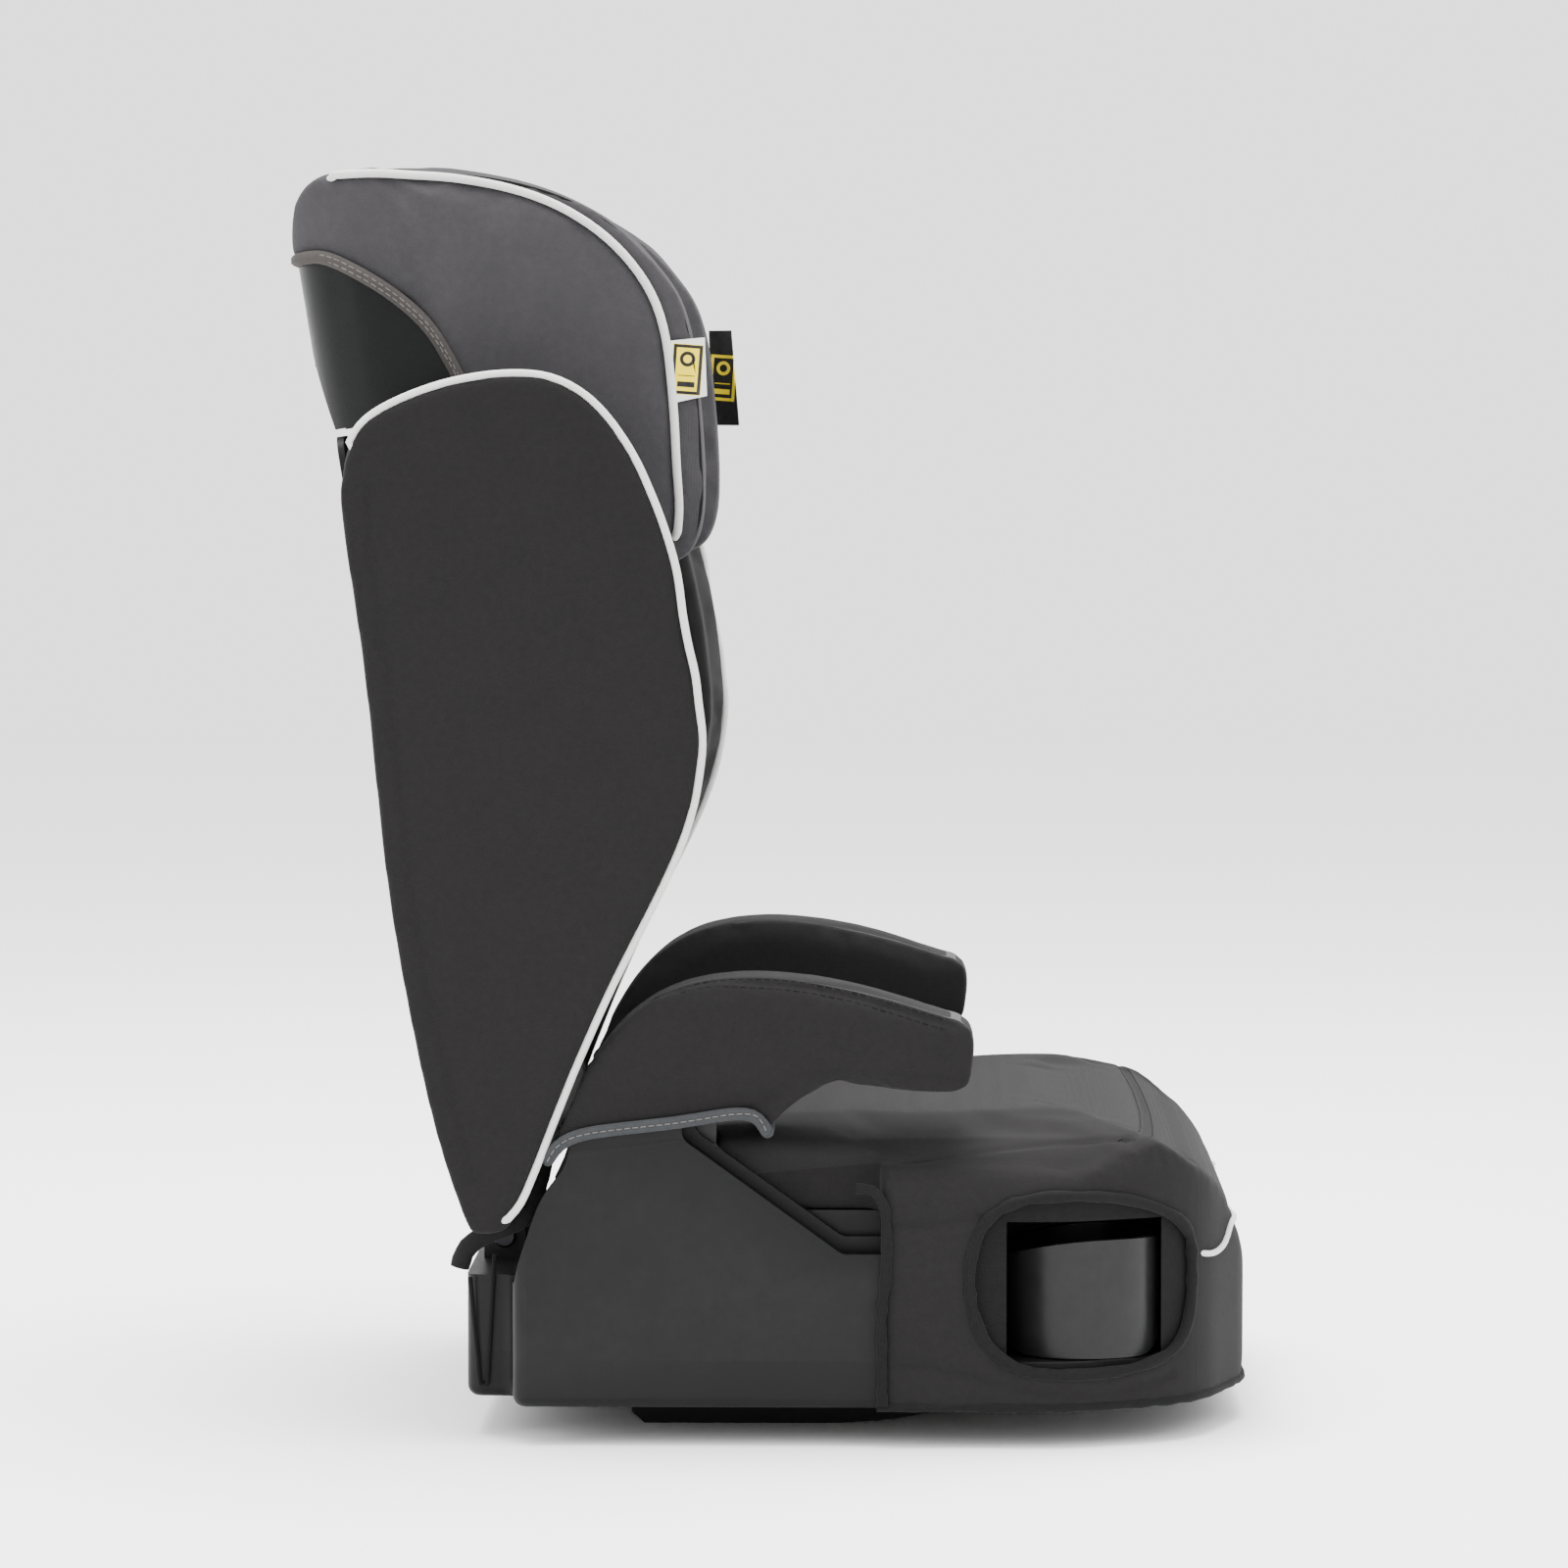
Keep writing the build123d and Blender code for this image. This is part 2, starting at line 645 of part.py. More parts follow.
with BuildPart() as right_hinge_hook:
    hinge = BACK.origin
    pin((HOOK_X[0], hinge.Y, hinge.Z), (HOOK_X[1], hinge.Y, hinge.Z), 11)
    back_block(HOOK_X, (3, PANEL_Y), (0, 70))
    pin(
        (HOOK_X[0] - 1, hinge.Y, hinge.Z),
        (HOOK_X[1] + 1, hinge.Y, hinge.Z),
        BAR_R + RUNNING,
        mode=Mode.SUBTRACT,
    )
    # mouth that snaps over the bar
    back_block((HOOK_X[0] - 1, HOOK_X[1] + 1), (-5, 5), (-20, -2), mode=Mode.SUBTRACT)
    for z in HOOK_SCREWS:
        back_pin((-70, 0, z), (-70, 20, z), SCREW_R, mode=Mode.SUBTRACT)
save(right_hinge_hook, "right_hinge_hook")
with BuildPart() as left_hinge_hook:
    mirror(right_hinge_hook.part, about=Plane.YZ)
save(left_hinge_hook, "left_hinge_hook")

with BuildPart() as hook_screws:
    for side in (-1, 1):
        for z in HOOK_SCREWS:
            screw((side * 70, PANEL_Y + WALL, z), (side * 70, 4, z), in_back=True)
save(hook_screws, "hook_screws")

with BuildPart() as right_guide_rail:
    back_block((-RAIL_X[1], -RAIL_X[0]), (-3, PANEL_Y), (RAIL_LOW, RAIL_HIGH))
    back_block((-RAIL_X[1], -34), (-3, -GAP), (RAIL_LOW, RAIL_HIGH))
    for z in RAIL_SCREWS:
        back_pin((-46, 0, z), (-46, 20, z), SCREW_R, mode=Mode.SUBTRACT)
save(right_guide_rail, "right_guide_rail")
with BuildPart() as left_guide_rail:
    mirror(right_guide_rail.part, about=Plane.YZ)
save(left_guide_rail, "left_guide_rail")

with BuildPart() as rail_screws:
    for side in (-1, 1):
        for z in RAIL_SCREWS:
            screw((side * 46, PANEL_Y + WALL, z), (side * 46, 1, z), in_back=True)
save(rail_screws, "rail_screws")

with BuildPart() as height_rack:
    back_block((-10, 10), (TONGUE_T + GAP, PANEL_Y), (LATCH_Z - 15, LATCH_Z + 165))
    for notch in range(NOTCHES):
        z = LATCH_Z + notch * NOTCH_PITCH
        back_block((-8.5, 8.5), (0, PANEL_Y + 1), (z - 2.5, z + 2.5), mode=Mode.SUBTRACT)
save(height_rack, "height_rack")

with BuildPart() as back_pad:
    back_block((-167, 167), (-34, PAD_REAR), (22, 328))
    fillet(back_pad.faces().sort_by(BACK_Y)[0].edges(), radius=14)
    back_block((-160, 160), (PAD_REAR - FABRIC - GAP, PAD_REAR), (320, PANEL_HIGH - 4))
save(back_pad, "back_pad")

with BuildPart() as right_wing_foam:
    slab(wing_side, (-WING_OUT + 8.3, -WING_IN - FABRIC), inset=FABRIC + GAP)
    add(back_shell.part, mode=Mode.SUBTRACT)
    back_block((-WING_OUT, -WING_IN), (7, 30), (0, 360), mode=Mode.SUBTRACT)
save(right_wing_foam, "right_wing_foam")
with BuildPart() as left_wing_foam:
    mirror(right_wing_foam.part, about=Plane.YZ)
save(left_wing_foam, "left_wing_foam")

with BuildPart() as right_wing_cover:
    slab(wing_side, (-WING_OUT, -WING_IN))
    slab(wing_side, (-WING_OUT + 5, -WING_IN - FABRIC), inset=FABRIC, mode=Mode.SUBTRACT)
    add(back_shell.part, mode=Mode.SUBTRACT)
save(right_wing_cover, "right_wing_cover")
with BuildPart() as left_wing_cover:
    mirror(right_wing_cover.part, about=Plane.YZ)
save(left_wing_cover, "left_wing_cover")

# ==== headrest ====================================================================================
HEAD_FRONT = -176  # how far the wings reach forward in the backrest's plane
BOX_REAR = 24
PAD_FRONT = -35
PLATE_Y = (-11.5, -8)
TONGUE_SCREWS = (465, 505)
STEM_Z = (496, 502)
GUIDE_Y, GUIDE_Z = (-88, -38), (388, 438)
GUIDE_SCREW_Y, GUIDE_SCREWS = -44, (400, 426)

with BuildPart() as headrest_shell:
    with BuildSketch(BACK.offset(HEAD_LOW)) as tub:
        with Locations((0, (HEAD_FRONT - 20 + BOX_REAR) / 2)):
            Rectangle(2 * HEAD_SHELL, BOX_REAR - HEAD_FRONT + 20)
        fillet(tub.vertices().group_by(Axis.Y)[-1], radius=42)
        offset(amount=-WALL, mode=Mode.SUBTRACT)
    extrude(amount=HEAD_HIGH - HEAD_LOW)
    back_block(
        (-HEAD_SHELL, HEAD_SHELL),
        (HEAD_FRONT - 30, HEAD_FRONT - 8),
        (HEAD_LOW, HEAD_HIGH),
        mode=Mode.SUBTRACT,
    )
    back_block((-142, 142), PLATE_Y, (HEAD_LOW, HEAD_HIGH))
    back_block((-142, 142), (PLATE_Y[1], BOX_REAR - 2), (HEAD_HIGH - 26, HEAD_HIGH - 22))
    back_block((-160, 160), (PLATE_Y[1], 40), (0, BOX_LOW), mode=Mode.SUBTRACT)
    for x in (-64, 60):
        back_block((x, x + 4), PLATE_Y[1:] + (BOX_REAR - 2,), (BOX_LOW, HEAD_HIGH - 24))
    for x in ((-34, -12), (12, 34)):
        back_block(x, (TONGUE_T + 0.1, BOX_REAR - 2), (455, 515))
    slab(head_core, (-200, 200), mode=Mode.INTERSECT)
    back_block((-4.5, 4.5), (10, 40), (STEM_Z[0] - 0.5, STEM_Z[1] + 11), mode=Mode.SUBTRACT)
    for side in (-1, 1):
        for z in TONGUE_SCREWS:
            back_pin((side * 24, 0, z), (side * 24, 18, z), SCREW_R, mode=Mode.SUBTRACT)
        for z in GUIDE_SCREWS:
            back_pin(
                (side * 150, GUIDE_SCREW_Y, z), (side * 138, GUIDE_SCREW_Y, z), SCREW_R, mode=Mode.SUBTRACT
            )
save(headrest_shell, "headrest_shell")

with BuildPart() as headrest_tongue:
    back_block((-TONGUE_HALF, TONGUE_HALF), (0, TONGUE_T), (TONGUE_LOW, TONGUE_HIGH))
    # a slot for the rod, and a wider window where its foot rises
    back_block((-CHANNEL_HALF, CHANNEL_HALF), (-1, TONGUE_T + 1), (270, 516), mode=Mode.SUBTRACT)
    back_block((-13, 13), (-1, TONGUE_T + 1), (LATCH_Z - 12, 270.1), mode=Mode.SUBTRACT)
    for z in (300, 400):
        back_block((-CHANNEL_HALF - 1, CHANNEL_HALF + 1), (0, TONGUE_T), (z, z + 6))
        back_pin((0, ROD_Y, z - 1), (0, ROD_Y, z + 7), ROD_R + RUNNING, mode=Mode.SUBTRACT)
    for side in (-1, 1):
        for z in TONGUE_SCREWS:
            back_pin((side * 24, -1, z), (side * 24, 18, z), SCREW_R + 0.1, mode=Mode.SUBTRACT)
save(headrest_tongue, "headrest_tongue")

with BuildPart() as tongue_screws:
    for side in (-1, 1):
        for z in TONGUE_SCREWS:
            screw((side * 24, 0, z), (side * 24, 17, z), in_back=True)
save(tongue_screws, "tongue_screws")

with BuildPart() as headrest_foam:
    slab(head_core, (-HEAD_SHELL + WALL + 1, HEAD_SHELL - WALL - 1), inset=GAP)
    back_block((-200, 200), (PLATE_Y[0] - GAP, 60), (300, 700), mode=Mode.SUBTRACT)
    back_block(
        (-HEAD_IN - FABRIC, HEAD_IN + FABRIC), (-300, PAD_FRONT + FABRIC), (200, 700), mode=Mode.SUBTRACT
    )
save(headrest_foam, "headrest_foam")

with BuildPart() as headrest_cover:
    # outer skin, open at the rear where the shell is bare
    slab(head_side, (-HEAD_OUT, HEAD_OUT))
    slab(hood_cut, (-HEAD_OUT - 1, HEAD_OUT + 1), mode=Mode.SUBTRACT)
    slab(head_core, (-HEAD_SHELL, HEAD_SHELL), mode=Mode.SUBTRACT)
    back_block((-HEAD_IN, HEAD_IN), (-300, PAD_FRONT), (200, 700), mode=Mode.SUBTRACT)
    back_block((-160, 160), (PLATE_Y[1], 60), (0, BOX_LOW), mode=Mode.SUBTRACT)
save(headrest_cover, "headrest_cover")

with BuildPart() as headrest_liner:
    # inner skin of the head space
    slab(head_core, (-HEAD_IN - FABRIC, HEAD_IN + FABRIC), inset=GAP)
    back_block((-HEAD_IN, HEAD_IN), (-300, PAD_FRONT), (200, 700), mode=Mode.SUBTRACT)
    back_block((-200, 200), (PAD_FRONT + FABRIC, 60), (200, 700), mode=Mode.SUBTRACT)
save(headrest_liner, "headrest_liner")

# belt guides on the outside of the headrest: a plate held off by a spacer, open to the front
with BuildPart() as right_belt_guide:
    back_block((-160, -156), GUIDE_Y, GUIDE_Z)
    back_block((-157, -HEAD_OUT - GAP), (GUIDE_Y[1] - 12, GUIDE_Y[1]), GUIDE_Z)
    back_block((-157, -153), (GUIDE_Y[0], GUIDE_Y[0] + 4), GUIDE_Z)
    for z in GUIDE_SCREWS:
        back_pin((-155, GUIDE_SCREW_Y, z), (-HEAD_SHELL - 0.1, GUIDE_SCREW_Y, z), 4.5)
        back_pin((-161, GUIDE_SCREW_Y, z), (-140, GUIDE_SCREW_Y, z), SCREW_R, mode=Mode.SUBTRACT)
save(right_belt_guide, "right_belt_guide")
with BuildPart() as left_belt_guide:
    mirror(right_belt_guide.part, about=Plane.YZ)
save(left_belt_guide, "left_belt_guide")

with BuildPart() as belt_guide_screws:
    for side in (-1, 1):
        for z in GUIDE_SCREWS:
            screw((side * 160, GUIDE_SCREW_Y, z), (side * 141.7, GUIDE_SCREW_Y, z), in_back=True)
save(belt_guide_screws, "belt_guide_screws")

# ==== height release ==============================================================================
with BuildPart() as release_handle:
    back_block((-45, 45), (BOX_REAR + GAP, BOX_REAR + 3.5), (476, 518))
    fillet(release_handle.edges().filter_by(BACK_Y), radius=10)
    back_block((-36, 36), (BOX_REAR + GAP, BOX_REAR + 6), (476, 480))
    back_block((-3.8, 3.8), (1.5, BOX_REAR + 1), STEM_Z)
    back_pin((0, ROD_Y, 480), (0, ROD_Y, 520), ROD_R, mode=Mode.SUBTRACT)
save(release_handle, "release_handle")

with BuildPart() as pull_rod:
    back_pin((0, ROD_Y, LATCH_Z + 14), (0, ROD_Y, STEM_Z[1] + 3), ROD_R)
    back_block((-11, 11), (2.5, 6.2), (LATCH_Z + 13, LATCH_Z + 17))
save(pull_rod, "pull_rod")

with BuildPart() as handle_spring:
    with BuildLine() as coil:
        foot = BACK.from_local_coords(Vector(0, ROD_Y, LATCH_Z + 18))
        Helix(pitch=4.5, height=40, radius=2.6, center=foot, direction=BACK.z_dir)
    with BuildSketch(Plane(origin=coil.line @ 0, z_dir=coil.line % 0)):
        Circle(0.45)
    sweep()
save(handle_spring, "handle_spring")

with BuildPart() as latch_wire:
    with BuildLine() as bent:
        half = [(-9, ROD_Y, LATCH_Z + 10), (-6.5, 5.5, LATCH_Z), (-6.5, 10.4, LATCH_Z)]
        points = half + [(-x, y, z) for x, y, z in reversed(half)]
        FilletPolyline(*[BACK.from_local_coords(Vector(p)) for p in points], radius=1.2)
    with BuildSketch(Plane(origin=bent.line @ 0, z_dir=bent.line % 0)):
        Circle(1)
    sweep()
save(latch_wire, "latch_wire")

# ---- woven tags sewn into the headrest's piping --------------------------------------------------
TAG_T = 0.8
with BuildPart() as right_tag:
    with BuildSketch(Plane.YZ.offset(-HEAD_OUT - GAP - TAG_T)):
        with BuildLine():
            Polyline((55, 575), (33.5, 577), (32.5, 546.5), (51, 542.5), close=True)
        make_face()
    extrude(amount=TAG_T)
save(right_tag, "right_tag")
with BuildPart() as left_tag:
    with BuildSketch(Plane.YZ.offset(HEAD_OUT + GAP)):
        with BuildLine():
            Polyline((40, 584), (29, 584), (24, 560), (23, 524), (38, 524), close=True)
        make_face()
    extrude(amount=TAG_T)
save(left_tag, "left_tag")
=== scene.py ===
from math import cos, pi, radians, sin

import bpy
import numpy as np
from mathutils import Matrix, Vector


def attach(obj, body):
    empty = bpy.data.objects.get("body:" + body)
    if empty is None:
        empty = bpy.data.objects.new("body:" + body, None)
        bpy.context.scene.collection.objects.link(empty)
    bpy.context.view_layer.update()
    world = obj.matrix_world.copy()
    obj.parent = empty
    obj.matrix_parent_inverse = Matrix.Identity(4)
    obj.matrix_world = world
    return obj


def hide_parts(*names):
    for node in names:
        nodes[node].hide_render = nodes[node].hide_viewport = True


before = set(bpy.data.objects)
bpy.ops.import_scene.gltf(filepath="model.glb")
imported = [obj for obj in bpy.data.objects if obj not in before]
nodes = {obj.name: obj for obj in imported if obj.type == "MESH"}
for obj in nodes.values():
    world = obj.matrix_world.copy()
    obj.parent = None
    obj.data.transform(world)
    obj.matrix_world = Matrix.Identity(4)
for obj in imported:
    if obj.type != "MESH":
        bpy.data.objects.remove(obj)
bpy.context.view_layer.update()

# the backrest leans back: local across, rearward and up along the back
lean = radians(9.2)
hingePoint = Vector((0, 0.142, 0.097))
backTurn = Matrix(((1, 0, 0), (0, cos(lean), sin(lean)), (0, -sin(lean), cos(lean))))


def onBack(x, y, z):
    return hingePoint + backTurn @ Vector((x, y, z))


def only(obj):
    if bpy.context.object and bpy.context.object.mode != "OBJECT":
        bpy.ops.object.mode_set(mode="OBJECT")
    bpy.ops.object.select_all(action="DESELECT")
    obj.select_set(True)
    bpy.context.view_layer.objects.active = obj
    return obj


def applyAll(obj):
    only(obj)
    for modifier in list(obj.modifiers):
        bpy.ops.object.modifier_apply(modifier=modifier.name)
    return obj


def coords(obj):
    flat = np.zeros(len(obj.data.vertices) * 3)
    obj.data.vertices.foreach_get("co", flat)
    return flat.reshape(-1, 3)


def setCoords(obj, points):
    obj.data.vertices.foreach_set("co", np.asarray(points, float).ravel())
    obj.data.update()


def vertexNormals(obj):
    flat = np.zeros(len(obj.data.vertices) * 3)
    obj.data.vertices.foreach_get("normal", flat)
    return flat.reshape(-1, 3)


def smoothLine(points, step=0.004, closed=False):
    # a Catmull-Rom curve through the points, sampled about every step metres
    pts = [Vector(p) for p in points]
    count = len(pts)
    line = []
    for i in range(count if closed else count - 1):
        b, c = pts[i], pts[(i + 1) % count]
        a = pts[i - 1] if closed or i else b + (b - c)
        d = pts[(i + 2) % count] if closed or i + 2 < count else c + (c - b)
        pieces = max(1, round((c - b).length / step))
        for k in range(pieces):
            t = k / pieces
            bend = 2 * a - 5 * b + 4 * c - d
            twist = 3 * b - a - 3 * c + d
            line.append(0.5 * (2 * b + (c - a) * t + bend * t * t + twist * t * t * t))
    if not closed:
        line.append(pts[-1])
    return line


def mm(pairs):
    return [tuple(v / 1000 for v in pair) for pair in pairs]


def mirrored(points):
    return [Vector((-p[0], p[1], p[2])) for p in points]


def prism(name, outline, low, high, axis="X", place=None):
    # a filled outline, extruded from low to high along X or Z
    order = {"X": lambda a, b, c: (c, a, b), "Z": lambda a, b, c: (a, b, c)}[axis]
    bpy.ops.mesh.primitive_circle_add(vertices=len(outline), radius=1, fill_type="NGON")
    piece = bpy.context.object
    piece.name = piece.data.name = name
    setCoords(piece, [order(p[0], p[1], low) for p in outline])
    bpy.ops.object.mode_set(mode="EDIT")
    bpy.ops.mesh.select_all(action="SELECT")
    shift = Vector(order(0, 0, high - low))
    bpy.ops.mesh.extrude_region_move(TRANSFORM_OT_translate={"value": shift})
    bpy.ops.mesh.select_all(action="SELECT")
    bpy.ops.mesh.normals_make_consistent(inside=False)
    bpy.ops.object.mode_set(mode="OBJECT")
    if place:
        setCoords(piece, [place(*p) for p in coords(piece)])
    return piece


def carve(piece, cutter, operation="DIFFERENCE"):
    # the cutter is used up
    only(piece)
    bpy.ops.object.modifier_add(type="BOOLEAN")
    modifier = piece.modifiers[-1]
    modifier.object = cutter
    modifier.operation = operation
    modifier.solver = "EXACT"
    applyAll(piece)
    bpy.data.objects.remove(cutter, do_unlink=True)
    return piece


def brick(name, x, y, z, place=None):
    outline = [(x[0], y[0]), (x[1], y[0]), (x[1], y[1]), (x[0], y[1])]
    return prism(name, outline, z[0], z[1], axis="Z", place=place)


def remesh(piece, size, smoothing):
    only(piece)
    piece.data.remesh_voxel_size = size
    bpy.ops.object.voxel_remesh()
    bpy.ops.object.modifier_add(type="SMOOTH")
    piece.modifiers[-1].factor = 0.5
    piece.modifiers[-1].iterations = smoothing
    return applyAll(piece)


paddingSet = {
    "pressure": 4,
    "frames": 20,
    "quality": 4,
    "mass": 0.25,
    "stretchStiffness": 12,
    "bendStiffness": 0.6,
    "holdStiffness": 3,
    "holdLevels": 10,
}


def inflate(piece, cap, held):
    # the padding swells under its cover by at most cap metres
    # held(points) gives how firmly each point is kept in place, 0 to 1
    before = coords(piece)
    only(piece)
    group = piece.vertex_groups.new(name="held")
    levels = paddingSet["holdLevels"]
    firm = np.round(held(before) * levels)
    for level in range(1, levels + 1):
        chosen = [int(i) for i in np.nonzero(firm == level)[0]]
        if chosen:
            group.add(chosen, level / levels, "REPLACE")
    bpy.ops.object.modifier_add(type="CLOTH")
    cloth = piece.modifiers[-1]
    settings = cloth.settings
    settings.quality = paddingSet["quality"]
    settings.mass = paddingSet["mass"]
    settings.tension_stiffness = settings.compression_stiffness = paddingSet["stretchStiffness"]
    settings.bending_stiffness = paddingSet["bendStiffness"]
    settings.use_pressure = True
    settings.uniform_pressure_force = paddingSet["pressure"]
    settings.effector_weights.gravity = 0
    settings.vertex_group_mass = "held"
    settings.pin_stiffness = paddingSet["holdStiffness"]
    cloth.point_cache.frame_start, cloth.point_cache.frame_end = 1, paddingSet["frames"]
    for number in range(1, paddingSet["frames"] + 1):
        bpy.context.scene.frame_set(number)
    after = coords(piece.evaluated_get(bpy.context.evaluated_depsgraph_get()))
    piece.modifiers.remove(cloth)
    bpy.context.scene.frame_set(1)
    move = after - before
    length = np.linalg.norm(move, axis=1, keepdims=True)
    setCoords(piece, before + move * np.minimum(1, cap / np.maximum(length, 1e-9)))
    piece.vertex_groups.remove(group)
    most = round(float(length.max()) * 1000, 1)
    print(piece.name, "swells by up to", most, "mm, held to", cap * 1000, "mm")


def subdivide(piece):
    only(piece)
    bpy.ops.object.modifier_add(type="SUBSURF")
    piece.modifiers[-1].levels = piece.modifiers[-1].render_levels = 1
    applyAll(piece)
    bpy.ops.object.shade_smooth()


def distanceTo(points, line):
    # from each point to the nearest place on the line
    line = np.array([tuple(p) for p in line])
    best = np.full(len(points), 1e9)
    for a, b in zip(line[:-1], line[1:]):
        ab = b - a
        t = np.clip(((points - a) @ ab) / max(float(ab @ ab), 1e-12), 0, 1)
        best = np.minimum(best, np.linalg.norm(points - (a + t[:, None] * ab), axis=1))
    return best


def groove(piece, line, width, depth):
    # a sewn line pulls the surface in, deepest on the line itself
    points = coords(piece)
    near = distanceTo(points, line)
    setCoords(piece, points - vertexNormals(piece) * (depth * np.exp(-((near / width) ** 2)))[:, None])


def onSurface(piece, points, lift=0.0):
    # moves points to the nearest place on the piece, lift metres outside it
    placed = []
    for p in points:
        _, spot, normal, _ = piece.closest_point_on_mesh(Vector(p))
        placed.append(spot + normal * lift)
    return placed


def castAcross(piece, pairs, side, lift=0.0):
    # (y, z) points dropped onto the piece from its outer side: -1 is the child's right, 1 the left
    placed = []
    for y, z in pairs:
        start = Vector((side * 0.4, y, z))
        hit, spot, normal, _ = piece.ray_cast(start, Vector((-side, 0, 0)))
        if not hit:
            _, spot, normal, _ = piece.closest_point_on_mesh(Vector((side * 0.2, y, z)))
        placed.append(spot + normal * lift)
    return placed


def buriedEnds(piece, points, depth=0.004):
    # the ends of a piping go into the seam
    pts = list(points)
    for i in (0, -1):
        _, spot, normal, _ = piece.closest_point_on_mesh(Vector(pts[i]))
        pts[i] = spot - normal * depth
    return pts


def relax(points, rounds, closed=False):
    # evens out a line; the ends of an open one stay
    pts = [Vector(p) for p in points]
    for _ in range(rounds):
        last = len(pts) - 1
        pts = [
            p if not closed and i in (0, last) else (pts[i - 1] + 2 * p + pts[(i + 1) % (last + 1)]) / 4
            for i, p in enumerate(pts)
        ]
    return pts


def tube(name, points, radius, closed=False, flat=None):
    # a round cord along the points; flat squeezes it along X
    data = bpy.data.curves.new(name, "CURVE")
    data.dimensions = "3D"
    data.bevel_depth = radius
    data.bevel_resolution = 4
    data.use_fill_caps = True
    spline = data.splines.new("POLY")
    spline.points.add(len(points) - 1)
    for spot, p in zip(spline.points, points):
        spot.co = (*p, 1)
    spline.use_cyclic_u = closed
    piece = bpy.data.objects.new(name, data)
    bpy.context.scene.collection.objects.link(piece)
    only(piece)
    bpy.ops.object.convert(target="MESH")
    piece = bpy.context.object
    if flat:
        pts = coords(piece)
        line = np.array([tuple(p) for p in points])
        nearest = np.argmin(((pts[:, None, :] - line[None]) ** 2).sum(2), axis=1)
        centre = line[nearest]
        pts[:, 0] = centre[:, 0] + (pts[:, 0] - centre[:, 0]) * flat
        setCoords(piece, pts)
    bpy.ops.object.shade_smooth()
    return piece


def gathers(piece, points, pitch, depth, seed):
    # puckers a cord all along, as elastic does; the sines and seed keep the folds uneven
    line = np.array([tuple(p) for p in points])
    steps = np.concatenate([[0], np.cumsum(np.linalg.norm(np.diff(line, axis=0), axis=1))])
    pts = coords(piece)
    nearest = np.argmin(((pts[:, None, :] - line[None]) ** 2).sum(2), axis=1)
    along = steps[nearest]
    phase = along / pitch * 2 * pi + 1.7 * np.sin(along * 95 + seed)
    wave = np.sin(phase) * (0.65 + 0.35 * np.sin(along * 61 + seed * 2))
    setCoords(piece, pts + vertexNormals(piece) * (depth * wave)[:, None])


def stitches(name, points, length, pitch, radius):
    # short raised threads along a line
    line = [Vector(p) for p in points]
    steps = [0.0]
    for a, b in zip(line[:-1], line[1:]):
        steps.append(steps[-1] + (b - a).length)
    xs = [p.x for p in line], [p.y for p in line], [p.z for p in line]

    def at(s):
        return Vector([float(np.interp(s, steps, axis)) for axis in xs])

    data = bpy.data.curves.new(name, "CURVE")
    data.dimensions = "3D"
    data.bevel_depth = radius
    data.bevel_resolution = 1
    data.use_fill_caps = True
    count = int((steps[-1] - length) / pitch)
    for k in range(count + 1):
        spline = data.splines.new("POLY")
        spline.points.add(2)
        for spot, s in zip(spline.points, (k * pitch, k * pitch + length / 2, k * pitch + length)):
            spot.co = (*at(s), 1)
    piece = bpy.data.objects.new(name, data)
    bpy.context.scene.collection.objects.link(piece)
    only(piece)
    bpy.ops.object.convert(target="MESH")
    return bpy.context.object


def dress(piece, material):
    piece.data.materials.clear()
    piece.data.materials.append(material)
    return piece


class Socket:
    # wraps a node output so that shader maths reads as an expression
    def __init__(self, tree, link):
        self.tree, self.link = tree, link

    def math(self, operation, *others):
        node = self.tree.nodes.new("ShaderNodeMath")
        node.operation = operation
        for slot, value in zip(node.inputs, (self, *others)):
            if isinstance(value, Socket):
                self.tree.links.new(value.link, slot)
            else:
                slot.default_value = value
        return Socket(self.tree, node.outputs[0])

    def __add__(self, other):
        return self.math("ADD", other)

    def __sub__(self, other):
        return self.math("SUBTRACT", other)

    def __mul__(self, other):
        return self.math("MULTIPLY", other)

    def above(self, other):
        return self.math("GREATER_THAN", other)

    def below(self, other):
        return self.math("LESS_THAN", other)


class Finish:
    # one material and the few calls that build it
    def __init__(self, name, **fixed):
        self.material = bpy.data.materials.new(name)
        self.material.use_nodes = True
        self.tree = self.material.node_tree
        self.shader = self.tree.nodes["Principled BSDF"]
        for key, value in fixed.items():
            self.shader.inputs[key.replace("_", " ")].default_value = value

    def node(self, kind, settings=None, output=0, **inputs):
        node = self.tree.nodes.new("ShaderNode" + kind)
        for key, value in (settings or {}).items():
            setattr(node, key, value)
        for key, value in inputs.items():  # _0 means input number 0
            slot = node.inputs[int(key[1:])] if key[0] == "_" else node.inputs[key]
            if isinstance(value, Socket):
                self.tree.links.new(value.link, slot)
            else:
                slot.default_value = value
        return Socket(self.tree, node.outputs[output])

    def place(self):
        return self.node("TexCoord", output="Object")

    def axes(self):
        split = self.tree.nodes.new("ShaderNodeSeparateXYZ")
        self.tree.links.new(self.place().link, split.inputs[0])
        return [Socket(self.tree, out) for out in split.outputs]

    def noise(self, scale, detail, rough=0.5):
        return self.node("TexNoise", Vector=self.place(), Scale=scale, Detail=detail, Roughness=rough)

    def mix(self, factor, low, high):
        return self.node("Mix", {"data_type": "RGBA"}, output=2, _0=factor, _6=low, _7=high)

    def bump(self, height, distance, strength):
        return self.node("Bump", Height=height, Distance=distance, Strength=strength)

    def set(self, **links):
        for key, value in links.items():
            self.tree.links.new(value.link, self.shader.inputs[key.replace("_", " ")])


def grey(level):
    return (level, level, level, 1)


